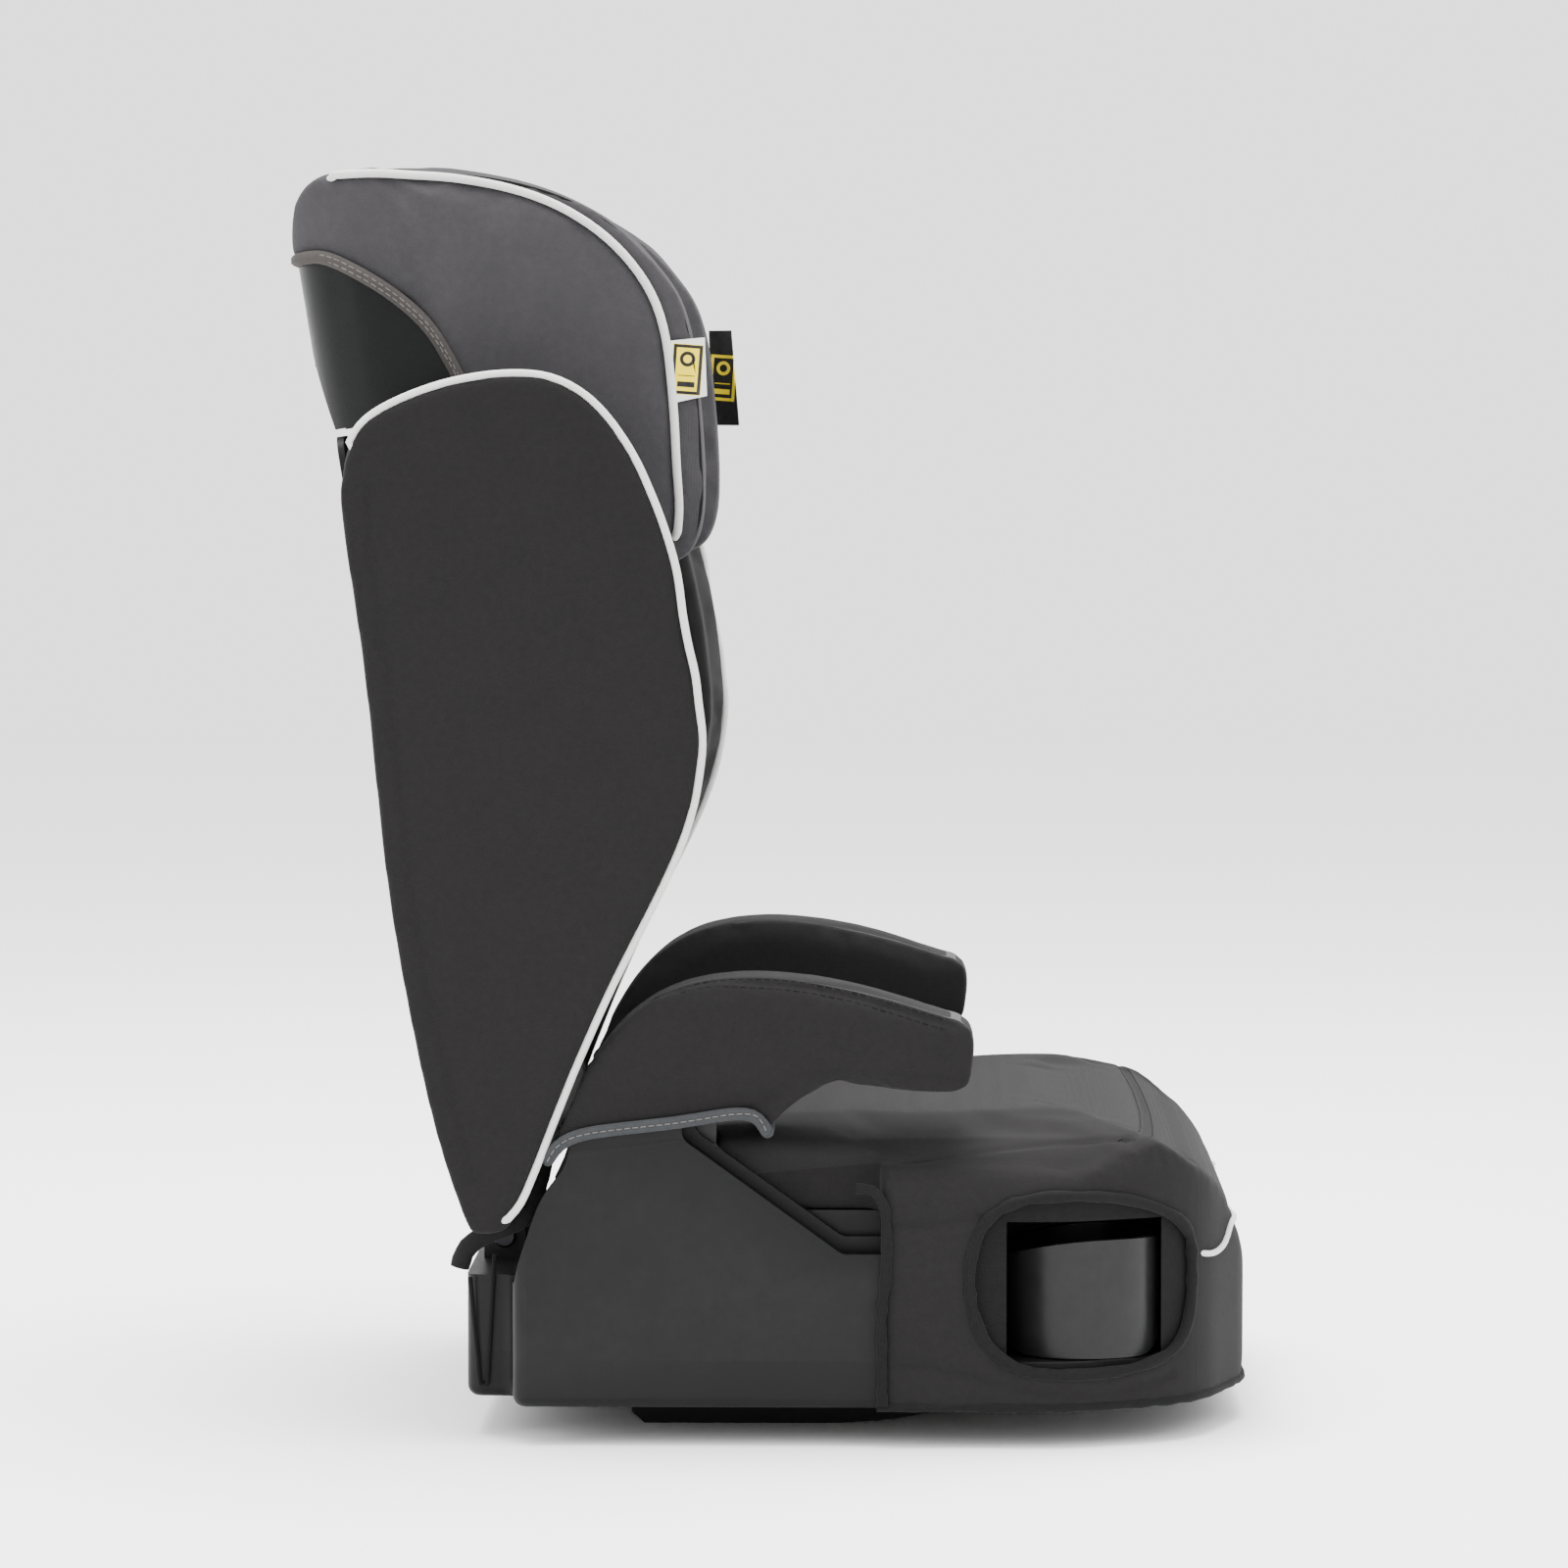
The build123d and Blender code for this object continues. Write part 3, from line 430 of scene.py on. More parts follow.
def wovenFinish(name, colour, light, rough=0.85, thread=0.0009, melange=0.25, mask=None, panelAndTopLight=None):
    # plain weave: threads cross in two directions on every face, with a slight melange of lighter fibres
    # the panel colour is a second colour where mask(x, y, z) is 1; for the seat it is a lighter cloth, made
    # lighter still by painted light from above
    cloth = Finish(name, Sheen_Weight=0.03, Sheen_Roughness=0.45, Specular_IOR_Level=0.06)
    x, y, z = cloth.axes()
    turns = 2 * pi / thread
    wx, wy, wz = [(axis * turns).math("SINE") for axis in (x, y, z)]
    weave = wx * wz + wy * wz + wx * wy
    coarse = cloth.noise(38, 3)
    fibre = cloth.noise(1500, 2, 0.6)
    slub = cloth.noise(260, 2, 0.6)
    base = colour
    if mask is not None:
        base = cloth.mix(mask(x, y, z), colour, panelAndTopLight)
    flecks = (fibre - 0.5) * 2.2 * melange + weave * 0.06 + 0.22 + (slub - 0.5) * 0.5
    lighter = cloth.mix(flecks, base, light)
    shade = cloth.mix((coarse - 0.5) * 0.25 + 0.08, lighter, grey(0.006))
    normal = cloth.bump(weave * 0.5 + fibre * 0.6 + slub * 0.8, 0.00012, 0.55)
    cloth.set(Base_Color=shade, Roughness=(slub - 0.5) * 0.15 + rough, Normal=normal)
    return cloth.material


def mouldedFinish(name, colour, rough, grain=0.00005, scale=1400, wear=0.25, coat=0.0, shine=0.4):
    # injection-moulded plastic: fine grain, slight flow marks, and paler rubbed edges where wear is above 0
    plastic = Finish(name, Coat_Weight=coat, Coat_Roughness=0.25, Specular_IOR_Level=shine)
    flow = plastic.noise(14, 3)
    speck = plastic.noise(scale, 1)
    scuff = plastic.noise(90, 4, 0.65)
    edge = plastic.node("NewGeometry", output="Pointiness")
    rubbed = plastic.node("Math", {"operation": "SMOOTH_MIN"}, _0=(edge - 0.52) * 6, _1=1.0, _2=0.1)
    worn = plastic.node("Math", {"operation": "MAXIMUM"}, _0=rubbed * wear, _1=0.0)
    tone = plastic.mix((flow - 0.5) * 0.5 + 0.1, colour, tuple(c * 1.6 for c in colour[:3]) + (1,))
    tone = plastic.mix(worn * scuff, tone, grey(0.06))
    plastic.set(
        Base_Color=tone,
        Roughness=(scuff - 0.5) * 0.18 + (flow - 0.5) * 0.1 + rough,
        Normal=plastic.bump(speck + flow * 0.4, grain, 0.6),
    )
    return plastic.material


charcoalCloth = wovenFinish("charcoal_cloth", (0.0094, 0.0088, 0.0090, 1), (0.0180, 0.0170, 0.0173, 1))
greyCloth = wovenFinish("grey_cloth", (0.0335, 0.0320, 0.0342, 1), (0.057, 0.055, 0.058, 1))
seatCloth = wovenFinish(
    "seat_cloth",
    (0.0100, 0.0094, 0.0096, 1),
    (0.0190, 0.0180, 0.0183, 1),
    panelAndTopLight=(0.0150, 0.0143, 0.0146, 1),
    mask=lambda x, y, z: (z + y * 0.092).above(0.1413),  # the top panel, above the shoulder seam: a lighter cloth, with painted light from above on top of it
)
bindingCloth = wovenFinish(
    "binding_cloth", (0.040, 0.036, 0.034, 1), (0.070, 0.064, 0.061, 1), thread=0.0012
)
slateBinding = wovenFinish(
    "slate_binding", (0.030, 0.032, 0.034, 1), (0.055, 0.057, 0.060, 1), thread=0.0012
)
blackBinding = wovenFinish(
    "black_binding", (0.006, 0.006, 0.0063, 1), (0.014, 0.014, 0.0147, 1), thread=0.0012
)
whitePiping = wovenFinish(
    "white_piping", (0.55, 0.54, 0.53, 1), (0.7, 0.7, 0.69, 1), rough=0.6, melange=0.1
)
darkThread = wovenFinish("dark_thread", (0.005, 0.005, 0.005, 1), (0.012, 0.012, 0.012, 1))
greyThread = wovenFinish("grey_thread", (0.11, 0.105, 0.10, 1), (0.17, 0.165, 0.16, 1))
satinPlastic = mouldedFinish("satin_black_plastic", (0.0036, 0.0036, 0.0038, 1), 0.42, shine=0.12)
cupPlastic = mouldedFinish("cup_plastic", (0.0055, 0.0055, 0.0059, 1), 0.36, grain=0.00003, shine=0.16)
glossPlastic = mouldedFinish(
    "smooth_dark_plastic", (0.0024, 0.0029, 0.0027, 1), 0.28, grain=0.00001, wear=0.0, coat=0.04, shine=0.12
)
framePlastic = mouldedFinish("frame_plastic", (0.012, 0.012, 0.0125, 1), 0.5, shine=0.24)
soleRubber = mouldedFinish(
    "sole_rubber", (0.004, 0.004, 0.004, 1), 0.75, grain=0.00012, scale=700, wear=0.1, shine=0.15
)


def steelFinish(name, dark, light):
    steel = Finish(name, Metallic=1.0)
    brushed = steel.noise(900, 2)
    patch = steel.noise(40, 3)
    steel.set(
        Base_Color=steel.mix(patch, dark, light),
        Roughness=(brushed - 0.5) * 0.2 + 0.34,
        Normal=steel.bump(brushed, 0.00002, 0.5),
    )
    return steel.material


zincSteel = steelFinish("zinc_steel", (0.30, 0.31, 0.33, 1), (0.42, 0.42, 0.44, 1))
blackSteel = steelFinish("black_steel", (0.020, 0.020, 0.022, 1), (0.035, 0.035, 0.037, 1))

plainNodes = [
    (satinPlastic, ["base_shell", "base_tray", "back_shell"]),
    (cupPlastic, ["right_cup_holder", "left_cup_holder"]),
    (glossPlastic, ["headrest_shell", "release_handle"]),
    (framePlastic, ["right_armrest_frame", "left_armrest_frame", "right_hinge_hook", "left_hinge_hook"]),
    (framePlastic, ["right_guide_rail", "left_guide_rail", "height_rack", "headrest_tongue"]),
    (framePlastic, ["right_belt_guide", "left_belt_guide"]),
    (soleRubber, ["right_runner", "left_runner"]),
    (blackBinding, ["right_cover_elastic", "left_cover_elastic"]),
    (blackSteel, ["hinge_bar"]),
]
for finish, members in plainNodes:
    for member in members:
        dress(nodes[member], finish)
for member in nodes:
    if "screws" in member or member in ("pull_rod", "handle_spring", "latch_wire"):
        dress(nodes[member], zincSteel)
print("plastic and metal finished")

# camera, floor and light
cameraSet = {"place": (-3.5, -0.0729, 0.5434), "yaw": 1.098, "pitch": 3.428, "lens": 146.475, "sensor": 36}
camera = bpy.data.objects.new("camera", bpy.data.cameras.new("camera"))
bpy.context.scene.collection.objects.link(camera)
yaw, pitch = radians(cameraSet["yaw"]), radians(cameraSet["pitch"])
aim = Vector((cos(pitch) * cos(yaw), cos(pitch) * sin(yaw), -sin(pitch)))
camera.location = cameraSet["place"]
camera.rotation_euler = aim.to_track_quat("-Z", "Y").to_euler()
camera.data.lens, camera.data.sensor_width = cameraSet["lens"], cameraSet["sensor"]
bpy.context.scene.camera = camera

bpy.ops.mesh.primitive_plane_add(size=14, location=(0, 0, 0))
floor = bpy.context.object
floor.name = "floor"
pale = Finish("pale_floor", Roughness=0.9)
pale.set(Base_Color=pale.mix(pale.noise(3, 2) * 0.3, (0.97, 0.97, 0.97, 1), (0.94, 0.94, 0.94, 1)))
dress(floor, pale.material)

lightSet = {
    "worldStrength": 2.2,
    "lamps": {  # place, target, width in metres, power in watts
        "key_light": ((-1.6, -1.8, 2.6), (0, -0.05, 0.3), 1.8, 36),
        "top_light": ((0.1, 0.1, 2.8), (0, 0, 0.2), 2.0, 250),
        "rear_fill": ((-1.4, 2.2, 1.3), (0, 0.1, 0.4), 1.6, 26),
    },
}
world = bpy.data.worlds.new("studio")
bpy.context.scene.world = world
world.use_nodes = True
background = world.node_tree.nodes["Background"]
background.inputs["Color"].default_value = (1, 1, 1, 1)
background.inputs["Strength"].default_value = lightSet["worldStrength"]
for name, (place, target, size, power) in lightSet["lamps"].items():
    lamp = bpy.data.objects.new(name, bpy.data.lights.new(name, "AREA"))
    bpy.context.scene.collection.objects.link(lamp)
    lamp.data.size, lamp.data.energy = size, power
    lamp.location = place
    lamp.rotation_euler = (Vector(target) - Vector(place)).to_track_quat("-Z", "Y").to_euler()
print("camera and light ready")


def softCopy(name, members, voxel, smoothing, extra=()):
    # a padded piece starts as its frame solids, joined and remeshed into one skin
    bpy.ops.object.select_all(action="DESELECT")
    twins = list(extra)
    for member in members:
        twin = bpy.data.objects.new(name, nodes[member].data.copy())
        bpy.context.scene.collection.objects.link(twin)
        twins.append(twin)
    for twin in twins:
        twin.select_set(True)
    bpy.context.view_layer.objects.active = twins[0]
    if len(twins) > 1:
        bpy.ops.object.join()
    piece = bpy.context.object
    piece.name = piece.data.name = name
    only(piece)
    bpy.ops.object.mode_set(mode="EDIT")
    bpy.ops.mesh.select_all(action="SELECT")
    bpy.ops.mesh.remove_doubles(threshold=0.00001)
    bpy.ops.object.mode_set(mode="OBJECT")
    piece.data.materials.clear()
    return remesh(piece, voxel, smoothing)


def shrink(piece, amount):
    # room for the padding to swell into
    setCoords(piece, coords(piece) - vertexNormals(piece) * amount)


def settle(piece, body, slot, replaced=()):
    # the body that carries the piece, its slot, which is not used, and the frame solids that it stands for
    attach(piece, body)
    if replaced:
        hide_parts(*replaced)


def filleted(points, radii, steps=7):
    # rounds every corner of a closed outline, each with its own radius
    pts = [Vector((p[0], p[1])) for p in points]
    line = []
    for i, corner in enumerate(pts):
        back, ahead = (pts[i - 1] - corner), (pts[(i + 1) % len(pts)] - corner)
        half = back.angle(ahead) / 2
        reach = radii[i] / np.tan(half)
        start, end = corner + back.normalized() * reach, corner + ahead.normalized() * reach
        middle = corner + (back.normalized() + ahead.normalized()).normalized() * (radii[i] / sin(half))
        for k in range(steps + 1):
            spoke = start.lerp(end, k / steps) - middle
            line.append(tuple(middle + spoke.normalized() * radii[i]))
    return line


# seat cover: crowned top, rolled shoulders and a skirt nearly to the floor
seatSet = {
    "voxel": 0.0045,
    "smoothing": 6,
    "swell": 0.0028,
    "skirtRear": -0.060,
    "skirtFoot": 0.0175,
    "skirtTop": 0.126,
    "skirtGrow": 0.0026,
    "hollowGrow": 0.0006,
    "deck": 0.1225,
    "rearCut": 0.1121,
    "hem": 0.0205,
    "plan": [(0.205, -0.158), (0.176, -0.222), (0.100, -0.250)],
    "planRadius": 0.075,
    "seamWidth": 0.0022,
    "seamDepth": 0.0013,
    "middleDepth": 0.0006,
    "bindingRadius": 0.0030,
    "rearHemRadius": 0.0027,
    "hemRadius": 0.0024,
    "pipingRadius": 0.0016,
    "pipingLift": 0.0008,
    "pipingHeight": 0.1105,
    "drawerHole": ((0.17, 0.22), (-0.2066, -0.1254), (0.0442, 0.1183)),
    "opening": mm(
        [(-106, 84), (-108, 104), (-115, 120), (-130, 129), (-154, 132), (-184, 130), (-208, 122),
         (-221, 110), (-223, 86), (-221, 63), (-213, 48), (-190, 40), (-157, 38.5), (-131, 42), (-113, 58)]
    ),
    "outerNose": mm(
        [(-255, 60), (-253, 84), (-248.5, 100), (-239.5, 122), (-237, 130), (-280, 130), (-280, 60)]
    ),
    "innerNose": mm(
        [(-251.6, 60), (-248.6, 86), (-239.6, 102.4), (-226.4, 114.5), (-205, 123.4), (-280, 128),
         (-280, 60)]
    ),
    "shoulderSeam": mm([(-8, 142), (-60, 147), (-117, 153.5), (-164, 157.5), (-188, 158.5)]),
    "upperSeam": mm([(-63, 116), (-91, 118.5), (-112, 121)]),
    "lowerSeam": mm(
        [(-58, 43.7), (-86, 41.8), (-111, 36.7), (-142, 30.7), (-167, 28.7), (-188, 29.3), (-213, 36)]
    ),
    "frontPiping": mm([(-228, 97), (-234, 95.5), (-240.5, 97.5), (-244, 104.8), (-245.5, 109)]),
    "rearHem": mm(
        [(-47, 136), (-56, 135), (-61.5, 128), (-63, 117), (-63, 92), (-60, 66), (-56.5, 45), (-56, 30),
         (-59, 22)]
    ),
}


def planOutline(grow, rear):
    # the cover's plan, grown outwards by grow and cut off at rear
    (wide, shoulder), (cornerX, cornerY), (noseX, noseY) = seatSet["plan"]
    slant = grow * 0.8
    half = [(wide + grow, rear), (wide + grow, shoulder)]
    half += [(cornerX + slant, cornerY - slant), (noseX, noseY - grow)]
    radii = [0.002] + [seatSet["planRadius"]] * 6 + [0.002]
    return filleted(half + [(-x, y) for x, y in reversed(half)], radii)


# a block thickens the skirt, so that the remesh keeps it whole
skirtPlan = planOutline(seatSet["skirtGrow"], seatSet["skirtRear"])
skirtBlock = prism("seat_cover_soft", skirtPlan, seatSet["skirtFoot"], seatSet["skirtTop"], axis="Z")
carve(skirtBlock, prism("outer_nose", seatSet["outerNose"], -0.3, 0.3))
seatNodes = ["seat_cover", "seat_foam", "cover_skirt"]
seat = softCopy("seat_cover_soft", seatNodes, seatSet["voxel"], seatSet["smoothing"], extra=[skirtBlock])


def seatHeld(p):
    # the skirt and the rear stay, and the hold fades out towards the top
    return np.where((p[:, 2] < 0.128) | (p[:, 1] > 0.05), 1.0, np.clip((0.150 - p[:, 2]) / 0.03, 0.0, 0.8))


inflate(seat, seatSet["swell"], seatHeld)
subdivide(seat)


def flatLine(pairs, step=0.006, closed=False):
    # a smooth line through flat pairs, as flat pairs again
    return [(p.x, p.y) for p in smoothLine([(*pair, 0) for pair in pairs], step, closed)]


def overTop(piece, points):
    # (x, y) points dropped onto the piece from above
    return [piece.ray_cast(Vector((x, y, 1)), Vector((0, 0, -1)))[1] for x, y in points]


def doubleStitch(name, piece, line, offset, side=Vector((0, 0, 1))):
    # two rows of thread, one each side of a seam
    rows = []
    for sign in (1, -1):
        shifted = [Vector(p) + side * offset * sign for p in line]
        rows.append(stitches(name, relax(onSurface(piece, shifted, 0.0001), 1), 0.0032, 0.0046, 0.00028))
    bpy.ops.object.select_all(action="DESELECT")
    for row in rows:
        row.select_set(True)
    bpy.context.view_layer.objects.active = rows[0]
    bpy.ops.object.join()
    joined = bpy.context.object
    joined.name = joined.data.name = name
    return joined


seatLines, openRings = {}, {}
openingLine = flatLine(seatSet["opening"], 0.004, True)
for side, word in ((-1, "right"), (1, "left")):
    for seam, rounds in (("shoulder", 4), ("upper", 2), ("lower", 2)):
        line = castAcross(seat, flatLine(seatSet[seam + "Seam"]), side)
        seatLines[word + "_" + seam] = relax(line, rounds)
    openRings[word] = relax(castAcross(seat, openingLine, side, 0.0006), 3, True)
shoulderEnd = seatLines["right_shoulder"][-1]
frontX = np.linspace(-0.99, 0.99, 45) * abs(shoulderEnd.x)
frontSeam = overTop(seat, [(x, -0.197 - 0.006 * (1 - (x / 0.2) ** 2)) for x in frontX])
seatLines["front"] = relax([shoulderEnd, *frontSeam, mirrored([shoulderEnd])[0]], 3)
seatLines["middle"] = overTop(seat, [(x, -0.075) for x in np.linspace(-0.14, 0.14, 40)])
for word, line in seatLines.items():
    depth = seatSet["middleDepth"] if word == "middle" else seatSet["seamDepth"]
    groove(seat, line, seatSet["seamWidth"], depth)

# the oval openings, the hollow inside, and the clean edges at the rear and the hem
for side in (-1, 1):
    carve(seat, prism("opening", openingLine, side * 0.12, side * 0.26))
hollow = prism("hollow", planOutline(seatSet["hollowGrow"], 0.14), -0.05, seatSet["deck"], axis="Z")
carve(hollow, prism("inner_nose", seatSet["innerNose"], -0.3, 0.3))
carve(seat, hollow)
carve(seat, brick("behind", (-0.3, 0.3), (seatSet["skirtRear"], 0.2), (-0.05, seatSet["rearCut"])))
carve(seat, brick("below", (-0.3, 0.3), (-0.35, 0.2), (-0.05, seatSet["hem"])))
only(seat)
bpy.ops.object.shade_smooth_by_angle(angle=radians(50))
dress(seat, seatCloth)
settle(seat, "base", "charcoal_fabric", seatNodes)
print("seat cover made:", len(seat.data.polygons), "faces")

# bindings of the openings, black sheets of painted shade inside them, and the bound rear edges of the skirt
nosePipes = {}
shadowSheetOutline = [((y + 0.164) * 1.04 - 0.164, (z - 0.087) * 1.04 + 0.087) for y, z in seatSet["opening"]]
shadowSheetLine = flatLine(shadowSheetOutline, 0.006, True)
drawerX, drawerY, drawerZ = seatSet["drawerHole"]
for side, word in ((-1, "right"), (1, "left")):
    ring = tube(
        word + "_opening_binding", openRings[word], seatSet["bindingRadius"], closed=True, flat=0.75
    )
    gathers(ring, openRings[word], 0.0052, 0.00055, seed=side)
    settle(dress(ring, blackBinding), "base", "charcoal_fabric")
    # a black sheet across the opening, open only at the cup holder: painted shade standing in for the
    # shadowed pocket
    shadowSheet = prism(word + "_opening_shadow_sheet", planOutline(0.00055, -0.07), 0.025, 0.136, axis="Z")
    carve(shadowSheet, prism("shadow_sheet_inside", planOutline(0.0002, -0.06), 0.0, 0.2, axis="Z"))
    carve(shadowSheet, prism("shadow_sheet_outline", shadowSheetLine, *sorted((side * 0.12, side * 0.26))), "INTERSECT")
    carve(shadowSheet, brick("drawer_hole", sorted(side * x for x in drawerX), drawerY, drawerZ))
    settle(dress(shadowSheet, blackBinding), "base", "charcoal_fabric")
    hemLine = castAcross(seat, flatLine(seatSet["rearHem"], 0.004), side, 0.0004)
    hemLine = [Vector((side * 0.2098, p.y, p.z)) for p in hemLine]
    rearHem = tube(word + "_skirt_binding", hemLine, seatSet["rearHemRadius"], flat=0.8)
    gathers(rearHem, hemLine, 0.0048, 0.0005, seed=3 + side)
    settle(dress(rearHem, blackBinding), "base", "charcoal_fabric")
    nosePipes[word] = castAcross(seat, flatLine(seatSet["frontPiping"], 0.004), side, seatSet["pipingLift"])

# one white piping from side to side across the nose
acrossNose = []
for x in np.linspace(-0.104, 0.104, 36):
    _, spot, normal, _ = seat.ray_cast(Vector((x, -0.4, seatSet["pipingHeight"])), Vector((0, 1, 0)))
    acrossNose.append(spot + normal * seatSet["pipingLift"])
wholeNose = smoothLine([*nosePipes["right"], *acrossNose, *reversed(nosePipes["left"])], 0.004)
nosePath = buriedEnds(seat, onSurface(seat, relax(wholeNose, 2), seatSet["pipingLift"]), 0.002)
nosePiping = tube("nose_piping", nosePath, seatSet["pipingRadius"])
settle(dress(nosePiping, whitePiping), "base", "charcoal_fabric")

# the hem round the bottom of the skirt
sideEnd = (0.2080, seatSet["skirtRear"] + 0.002)
hemPlan = [sideEnd, *planOutline(0.0030, seatSet["skirtRear"])[8:-8], (-sideEnd[0], sideEnd[1])]
bottomHem = smoothLine([Vector((x, y, seatSet["hem"] + 0.001)) for x, y in hemPlan], 0.006)
skirtHem = tube("skirt_hem", bottomHem, seatSet["hemRadius"], flat=0.8)
gathers(skirtHem, bottomHem, 0.0055, 0.0004, seed=9)
dress(skirtHem, blackBinding)
settle(skirtHem, "base", "charcoal_fabric")
seatThread = doubleStitch("seat_stitching", seat, seatLines["front"], 0.004, Vector((0, 1, 0)))
settle(dress(seatThread, darkThread), "base", "charcoal_fabric")

# armrest sleeves
armSet = {
    "voxel": 0.004,
    "smoothing": 8,
    "room": 0.0012,
    "swell": 0.0032,
    "heldBelow": 0.185,
    "seamWidth": 0.0022,
    "seamDepth": 0.0013,
    "outerX": 0.2092,
    "innerX": 0.1605,
    "threadX": 0.2118,
    "topSeam": mm(
        [(60, 233.5), (31, 243), (10.6, 243.5), (-20, 241), (-50.4, 234.5), (-81, 225.4), (-108, 217.3)]
    ),
    "lowSeam": mm([(9.6, 176), (-4.6, 187), (-17.4, 195), (-35.1, 198), (-70.7, 196.5), (-105, 193)]),
    "hem": mm([(113, 150), (107, 158.5), (91.8, 164.6), (46, 170.3), (15.5, 175), (3.5, 173.5), (-1, 165)]),
}


def armHeld(p):
    return np.where(p[:, 2] < armSet["heldBelow"], 1.0, 0.0)


for side, word in ((-1, "right"), (1, "left")):
    covered = [word + "_armrest_cover"]
    arm = softCopy(word + "_armrest_sleeve", covered, armSet["voxel"], armSet["smoothing"])
    shrink(arm, armSet["room"])
    inflate(arm, armSet["swell"], armHeld)
    subdivide(arm)
    seams = [relax(castAcross(arm, flatLine(armSet[key]), side), 3) for key in ("topSeam", "lowSeam")]
    for line in seams:
        groove(arm, line, armSet["seamWidth"], armSet["seamDepth"])
    thread = doubleStitch(word + "_armrest_stitching", arm, seams[0], 0.0034)
    settle(dress(thread, darkThread), "base", "charcoal_fabric")
    dress(arm, charcoalCloth)
    settle(arm, "base", "charcoal_fabric", covered)
    path = flatLine(armSet["hem"], 0.004)
    loop = [Vector((side * armSet["outerX"], y, z)) for y, z in path]
    loop += [Vector((side * armSet["innerX"], y, z)) for y, z in reversed(path)]
    loop = relax(smoothLine(loop, 0.004, True), 3, True)
    binding = tube(word + "_armrest_binding", loop, 0.0034, closed=True, flat=0.7)
    settle(dress(binding, slateBinding), "base", "charcoal_fabric")
    outside = [Vector((side * armSet["threadX"], y, z)) for y, z in path]
    bindingThread = stitches(word + "_armrest_hem_stitching", outside, 0.0028, 0.0042, 0.0003)
    settle(dress(bindingThread, greyThread), "base", "charcoal_fabric")
print("armrests made")

# backrest cushion and wings
backSet = {
    "voxel": 0.0045,
    "smoothing": 5,
    "swell": 0.008,
    "heldBehind": -0.014,
    "channels": (0.105, 0.185, 0.265),
    "channelSag": 0.02,
    "sideChannel": (0.04, 0.315),
    "half": 0.118,
    "channelWidth": 0.0045,
    "channelDepth": 0.0042,
    "upperPanel": ((-0.159, 0.159), (-0.0125, -0.0036), (0.300, 0.430)),
}
thickening = brick("back_cushion", *backSet["upperPanel"], place=onBack)
cushion = softCopy("back_cushion", ["back_pad"], backSet["voxel"], backSet["smoothing"], extra=[thickening])


def behind(p):
    # local rearward distance in the plane of the back
    return (p[:, 1] - hingePoint.y) * cos(lean) - (p[:, 2] - hingePoint.z) * sin(lean)


def cushionHeld(p):
    return np.where(behind(p) > backSet["heldBehind"], 1.0, 0.0)


inflate(cushion, backSet["swell"], cushionHeld)
subdivide(cushion)


def onFront(x, z):
    # the cushion's front at a place across and up the back
    hit, spot, _, _ = cushion.ray_cast(onBack(x, -0.3, z), backTurn @ Vector((0, 1, 0)))
    return spot if hit else onBack(x, -0.034, z)


wide, sag = backSet["half"], backSet["channelSag"]
for height in backSet["channels"]:
    channel = [onFront(x, height - sag * (x / 0.12) ** 2) for x in np.linspace(-wide, wide, 36)]
    groove(cushion, channel, backSet["channelWidth"], backSet["channelDepth"])
for x in (-wide, wide):
    channel = [onFront(x, z) for z in np.linspace(*backSet["sideChannel"], 40)]
    groove(cushion, channel, backSet["channelWidth"], backSet["channelDepth"])
dress(cushion, charcoalCloth)
settle(cushion, "backrest", "charcoal_fabric", ["back_pad"])

wingSet = {
    "voxel": 0.0045,
    "smoothing": 8,
    "swell": 0.007,
    "rimX": 0.2085,
    "innerX": 0.1695,
    "pipingRadius": 0.0021,
    "footX": 0.1765,
    "footRadius": 0.0052,
    "piping": mm(
        [(216, 518), (210, 532), (192, 543.4), (167, 552.5), (141.5, 557.5), (121, 558.5), (106, 555),
         (91, 546), (73.4, 523), (61, 498), (51, 468), (44.7, 437.5), (38.2, 402), (35.2, 371.7),
         (36.7, 346), (43.3, 316), (56, 285), (71.3, 257), (91.7, 214), (107, 178), (120, 148),
         (130, 125), (138, 117)]
    ),
    "rearSeam": mm(
        [(205, 500), (204, 473), (200, 437), (195, 400), (189, 346), (184, 295), (176, 244), (162, 183),
         (152, 140)]
    ),
    "innerSeam": mm([(-90, 90), (-120, 200), (-135, 300), (-120, 400)]),
    "footHem": mm([(161, 90), (158.6, 97.6), (153, 104), (141, 110), (128, 116), (121, 130), (117, 146)]),
}


def wingHeld(p):
    # firm at the rear, half firm on the outer side
    return np.where(behind(p) > 0.0, 1.0, np.where(np.abs(p[:, 0]) > 0.207, 0.5, 0.0))


for side, word in ((-1, "right"), (1, "left")):
    covered = [word + "_wing_cover", word + "_wing_foam"]
    wing = softCopy(word + "_back_wing", covered, wingSet["voxel"], wingSet["smoothing"])
    inflate(wing, wingSet["swell"], wingHeld)
    subdivide(wing)
    edge = flatLine(wingSet["piping"], 0.005)
    rim = relax([Vector((side * wingSet["rimX"], y, z)) for y, z in edge], 2)
    rim = relax(onSurface(wing, rim, 0.0009), 4)
    groove(wing, rim, 0.0030, 0.0014)
    seam = relax(castAcross(wing, flatLine(wingSet["rearSeam"]), side), 3)
    groove(wing, seam, 0.0022, 0.0012)
    inward = [onBack(side * wingSet["innerX"], y, z) for y, z in wingSet["innerSeam"]]
    groove(wing, relax(onSurface(wing, smoothLine(inward, 0.006)), 2), 0.0028, 0.0018)
    piping = tube(word + "_wing_piping", buriedEnds(wing, rim), wingSet["pipingRadius"])
    settle(dress(piping, whitePiping), "backrest", "charcoal_fabric")
    dress(wing, charcoalCloth)
    settle(wing, "backrest", "charcoal_fabric", covered)
footHem = flatLine(wingSet["footHem"], 0.004)
